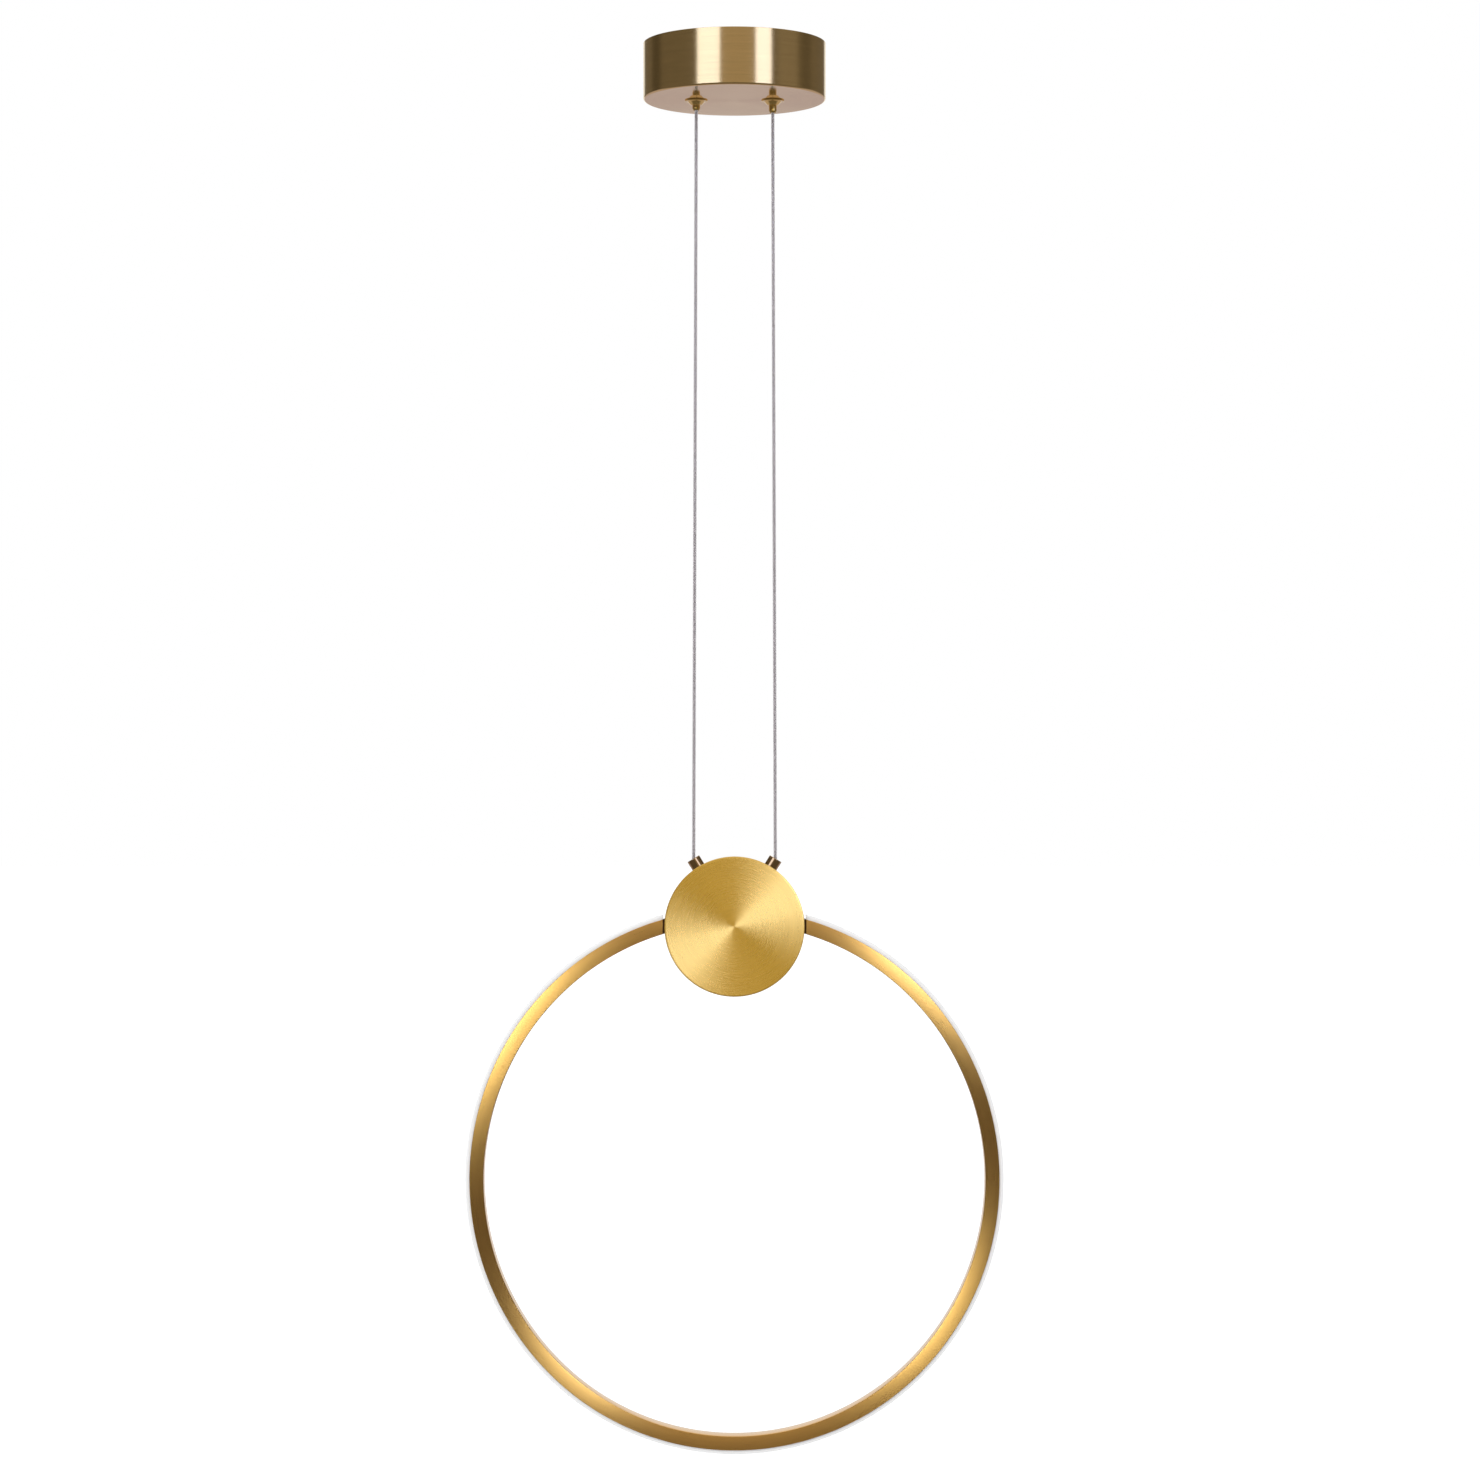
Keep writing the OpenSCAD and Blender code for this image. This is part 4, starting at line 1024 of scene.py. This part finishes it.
class PENDANT_OT_cables(bpy.types.Operator):
    """The two free cables: a clear jacket over stranded wire"""

    bl_idname = "pendant.cables"
    bl_label = "Cables"

    END_STEPS = 6
    TIP = 0.02

    def execute(self, context):
        sizes, finishes = settings(context)
        jacket = clear_plastic("clear jacket", finishes.jacket, clearness=0.75)
        wire = tinned_wire("tinned strands", finishes.conductor)
        tubes, strands = tube_tree(), strand_tree()
        for side, word in SIDES:
            route = cable_route(side)
            core = grow(
                line_object("core line", route), strands, f"cable_{word}_strands",
                core_radius=CORE_R, strands=sizes.strand_count, lay=sizes.strand_pitch,
                step=sizes.strand_pitch / 12, material=wire,
            )
            points, girths, bored = self.stations(route)
            tube = grow(
                line_object("jacket line", points, girth=girths, bored=bored), tubes,
                f"cable_{word}_jacket", radius=CABLE_R, bore=CORE_R + CORE_GAP, sides=24,
                material=jacket,
            )
            join_frame(core, "cables", f"cable_core_{word}")
            join_frame(tube, "cables", f"cable_jacket_{word}")
            for piece in (tube, core):
                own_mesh(piece)
        return {"FINISHED"}

    def stations(self, route):
        """A jacket's line with its round ends: points, thickness at each, and whether bored."""
        way = (route[-1] - route[0]).normalized()
        turns = [math.radians(90 * k / self.END_STEPS) for k in range(self.END_STEPS)]
        top, foot = (
            [(end + out * CABLE_R * math.cos(t), max(self.TIP, math.sin(t)), 0.0) for t in turns]
            for end, out in ((route[0], -way), (route[-1], way))
        )
        full = [(p, 1.0, 1.0) for p in route]
        return tuple(zip(*(top + full + foot[::-1])))


class PENDANT_OT_canopy(bpy.types.Operator):
    """The canopy, its screws and the ceiling bracket"""

    bl_idname = "pendant.canopy"
    bl_label = "Canopy"

    RADIUS = 67.99 * MM
    DEPTH = 42 * MM
    WALL = 1 * MM
    EDGE = 1.5 * MM
    RIM = 0.25 * MM
    STEM_BORE_R = 5.15 * MM
    SCREW_BORE_R = 2.1 * MM
    SCREW_Z = -9.6 * MM

    def execute(self, context):
        sizes, finishes = settings(context)
        shell = spun_brass(
            "polished brass", finishes.polished_brass, 0.20, (0, 0, 0), UP,
            grain=0.35 * MM, streaks=5.0, spread=0.75, polish=(UP, 0.85, 0.98),
        )
        screw = spun_brass(
            "brass screw", finishes.polished_brass, 0.24, (0, 0, self.SCREW_Z), ACROSS
        )
        outer, inner, floor = self.RADIUS, self.RADIUS - self.WALL, self.WALL - self.DEPTH
        outline = (
            (0, -self.DEPTH, 0), (outer, -self.DEPTH, self.EDGE), (outer, 0, self.RIM),
            (inner, 0, self.RIM), (inner, floor, 2 * self.RIM), (0, floor, 0),
        )
        drum = turn("canopy_drum", rounded_profile(outline), shell, segments=240)
        for side, _ in SIDES:
            stem, hole = (side * GRIP_X, 0, -self.DEPTH), (side * outer, 0, self.SCREW_Z)
            drill(drum, stem, UP, self.STEM_BORE_R, 3 * self.WALL)
            drill(drum, hole, ACROSS, self.SCREW_BORE_R, 6 * self.WALL)
        even_shading(drum)
        join_frame(drum, "canopy", "canopy_shell")
        dress("side_screws", "canopy_side_screws", screw, rounding=sizes.edge_round)
        steel = zinc_steel("zinc-plated steel")
        dress("ceiling_bracket", "ceiling_crossbar", steel, rounding=sizes.edge_round)
        dress("earth_screw", "earthing_screw", screw, rounding=sizes.edge_round)
        return {"FINISHED"}


class PENDANT_OT_grippers(bpy.types.Operator):
    """The cable grippers with their nuts, springs, balls and release plungers"""

    bl_idname = "pendant.grippers"
    bl_label = "Grippers"

    def execute(self, context):
        sizes, finishes = settings(context)
        edge = sizes.edge_round
        colour = finishes.bright_brass
        steel = zinc_steel("gripper steel", (0.66, 0.67, 0.68))
        for side, word in SIDES:
            turned = spun_brass(
                f"turned brass {word}", colour, 0.10, (side * GRIP_X, 0, 0), UP, grain=0.2 * MM,
                spread=0.6,
            )
            dress(f"gripper_{word}", f"cable_gripper_{word}", turned, rounding=edge)
            dress(f"release_plunger_{word}", f"plunger_{word}", turned, rounding=edge / 2)
            spring = dress(f"release_spring_{word}", f"plunger_spring_{word}", steel, sharp=70.0)
            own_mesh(spring)
            dress(f"clamp_balls_{word}", f"gripper_balls_{word}", steel)
        caps = spun_brass("cap brass", colour, 0.2, (0, 0, 0), UP)
        dress("gripper_caps", "gripper_end_caps", caps, rounding=edge)
        dress("gripper_washers", "gripper_flat_washers", steel, rounding=edge / 2)
        dress("gripper_nuts", "gripper_lock_nuts", steel, rounding=edge)
        return {"FINISHED"}


class PENDANT_OT_wiring(bpy.types.Operator):
    """The driver, the terminal block and the leads inside the canopy"""

    bl_idname = "pendant.wiring"
    bl_label = "Wiring"

    def execute(self, context):
        sizes, finishes = settings(context)
        white = moulded("white moulding", (0.80, 0.79, 0.75))
        steel = zinc_steel("terminal steel")
        clear = clear_plastic("clear sleeve", finishes.jacket)
        brown, blue, red, black = (
            wire_cover(word, "insulation") for word in ("brown", "blue", "red", "black")
        )
        sleeve = moulded("capacitor sleeve", (0.03, 0.05, 0.12), roughness=0.25)
        edge = sizes.edge_round
        dress("driver_pad", "driver_foam_pad", foam("foam"))
        dress("driver_case", "driver_housing", white, rounding=2 * edge)
        dress("driver_lid", "driver_cover", white, rounding=2 * edge)
        dress("driver_board", "driver_circuit", circuit_board("driver board"))
        dress("driver_transformer", "driver_coil", wound_tape("amber tape"), rounding=2 * edge)
        dress("driver_capacitors", "driver_capacitor_set", sleeve, rounding=2 * edge)
        dress("terminal_block", "mains_terminal", white, rounding=2 * edge)
        dress("terminal_screws", "mains_terminal_screws", steel, rounding=edge / 2)
        dress("mains_leads", "mains_wires", blue, brown, sharp=70.0, order=1)
        dress("output_leads", "output_wires", black, red, sharp=70.0, order=0)
        dress("output_connectors", "output_sleeves", clear, rounding=edge)
        for _, word in SIDES:
            dress(f"canopy_tail_{word}", f"upper_tail_{word}", clear)
            dress(f"lamp_tail_{word}", f"lower_tail_{word}", clear, sharp=70.0)
        return {"FINISHED"}


class PENDANT_OT_hub(bpy.types.Operator):
    """The front disc, the housing, the ferrules and what the hub holds"""

    bl_idname = "pendant.hub"
    bl_label = "Hub"

    def execute(self, context):
        sizes, finishes = settings(context)
        edge = sizes.edge_round
        brushed = spun_brass(
            "brushed disc", finishes.satin_brass, 0.28, HUB, BACK, grain=0.3 * MM, streaks=4.0,
            spread=1.0, depth=0.0025 * MM,
        )
        steel = zinc_steel("hub steel")
        white = moulded("terminal moulding", (0.80, 0.79, 0.75))
        red, black = (wire_cover(word, "strip lead") for word in ("red", "black"))
        dress("disc_front", "front_disc", brushed, rounding=edge)
        dress("hub_housing", "hub_cup", brushed, rounding=edge)
        dress("disc_screws", "rear_screws", steel, rounding=edge / 2)
        for side, word in SIDES:
            turned = spun_brass(
                f"ferrule brass {word}", finishes.dark_brass, 0.10, HUB, ferrule_axis(side),
                grain=0.2 * MM, spread=0.6,
            )
            dress(f"ferrule_{word}", f"cable_ferrule_{word}", turned, rounding=edge)
        stop_brass = spun_brass("stop brass", finishes.bright_brass, 0.25, HUB, BACK)
        dress("cable_stops", "cable_stop_collars", stop_brass, rounding=edge)
        dress("ferrule_nuts", "ferrule_lock_nuts", steel, rounding=edge)
        dress("stop_screws", "cable_stop_screws", steel)
        dress("link_board", "hub_circuit", circuit_board("hub board"))
        dress("board_screws", "hub_circuit_screws", steel, rounding=edge / 2)
        dress("board_terminals", "hub_terminals", white, rounding=edge)
        dress("strip_leads", "strip_wires", black, red, sharp=70.0, order=0)
        return {"FINISHED"}


class PENDANT_OT_ring(bpy.types.Operator):
    """The ring: its brass channel, end joints darkened with painted shadow, LED strip and opal
    diffuser
    """

    bl_idname = "pendant.ring"
    bl_label = "Ring"

    def execute(self, context):
        sizes, finishes = settings(context)
        tree = sweep_tree()
        satin = drawn_brass(
            "drawn satin brass", finishes.ring_brass, 0.28, spread=1.0, depth=0.0005 * MM,
            contrast=0.04, vary=0.04, polish=(BACK, 0.6, 0.3),
        )
        glow = opal("opal", finishes.opal)
        for node, name, outline, material in (
            ("ring_channel", "ring_profile", self.channel_outline(sizes.channel_round), satin),
            ("diffuser", "ring_diffuser", self.diffuser_outline(sizes.diffuser_round), glow),
        ):
            profile = line_object("profile", rounded_profile(outline), closed=True)
            piece = grow(
                line_object("ring line", ring_line()), tree, name, profile=profile,
                cut_radius=CUT_R, arc_height=TOP_ARC_Z, hub_height=HUB.z, material=material,
            )
            bpy.data.objects.remove(profile)
            join_frame(piece, "lamp", node)
        # Near-black end joints: a dark finish darkened further as painted shadow of the gap between
        # the disc and the ring.
        bronze = spun_brass("dark bronze", finishes.bronze, 0.3, HUB, BACK)
        for _, word in SIDES:
            dress(f"ring_end_{word}", f"ring_joint_{word}", bronze, rounding=sizes.edge_round)
        dress("end_screws", "ring_end_screws", zinc_steel("ring steel"))
        dress("led_strip", "led_tape", moulded("white solder mask", (0.82, 0.82, 0.80)))
        dress("led_chips", "led_emitters", phosphor("phosphor"))
        return {"FINISHED"}

    def channel_outline(self, edge):
        """The channel's section: x from front to back, y towards the middle of the ring."""
        depth, wall, tip = BAND_DEPTH / 2, CHANNEL_WALL, 0.3 * MM
        web = BAND_HALF - wall
        return (
            (wall - depth, web, 0), (depth - wall, web, 0), (depth - wall, -BAND_HALF, tip),
            (depth, -BAND_HALF, tip), (depth, BAND_HALF, edge), (-depth, BAND_HALF, edge),
            (-depth, -BAND_HALF, tip), (wall - depth, -BAND_HALF, tip),
        )

    def diffuser_outline(self, edge):
        half, inner, inner_edge = DIFFUSER_HALF, DIFFUSER_HALF - DIFFUSER_WALL, 0.5 * MM
        foot, top = -DIFFUSER_LEG, -BAND_HALF - DIFFUSER_OUT
        ceiling = top + DIFFUSER_WALL
        return (
            (-half, foot, 0), (-half, top, edge), (half, top, edge), (half, foot, 0),
            (inner, foot, 0), (inner, ceiling, inner_edge), (-inner, ceiling, inner_edge),
            (-inner, foot, 0),
        )


class PENDANT_OT_aim(bpy.types.Operator):
    """Lets each soft box shine on its own group of pieces only"""

    bl_idname = "pendant.aim"
    bl_label = "Aim soft boxes"

    def execute(self, context):
        for name, pieces in PENDANT_OT_studio.GROUPS.items():
            lit = bpy.data.collections.new(f"lit {name}")
            for piece in pieces:
                lit.objects.link(bpy.data.objects[piece])
            for member in lit.collection_objects:
                member.light_linking.link_state = "EXCLUDE" if name == "rest" else "INCLUDE"
            for box in context.scene.objects:
                if box.get("group") == name:
                    box.light_linking.receiver_collection = lit
        return {"FINISHED"}


OPERATORS = (
    PENDANT_OT_studio,
    PENDANT_OT_cables,
    PENDANT_OT_canopy,
    PENDANT_OT_grippers,
    PENDANT_OT_wiring,
    PENDANT_OT_hub,
    PENDANT_OT_ring,
    PENDANT_OT_aim,
)


class PENDANT_PT_panel(bpy.types.Panel):
    """The pendant light's sizes, finishes and pieces"""

    bl_idname = "PENDANT_PT_panel"
    bl_label = "Ring Pendant Light"
    bl_space_type = "VIEW_3D"
    bl_region_type = "UI"
    bl_category = "Pendant"

    def draw(self, context):
        for group in (context.scene.pendant_sizes, context.scene.pendant_finishes):
            box = self.layout.box()
            for key in type(group).__annotations__:
                box.prop(group, key)
        for operator in OPERATORS:
            self.layout.operator(operator.bl_idname)


CLASSES = (PendantSizes, PendantFinishes, *OPERATORS, PENDANT_PT_panel)


def register():
    for cls in CLASSES:
        bpy.utils.register_class(cls)
    bpy.types.Scene.pendant_sizes = PointerProperty(type=PendantSizes)
    bpy.types.Scene.pendant_finishes = PointerProperty(type=PendantFinishes)


def unregister():
    del bpy.types.Scene.pendant_finishes
    del bpy.types.Scene.pendant_sizes
    for cls in reversed(CLASSES):
        bpy.utils.unregister_class(cls)


def main():
    register()
    for operator in OPERATORS:
        group, name = operator.bl_idname.split(".")
        getattr(getattr(bpy.ops, group), name)()


if __name__ == "__main__":
    main()
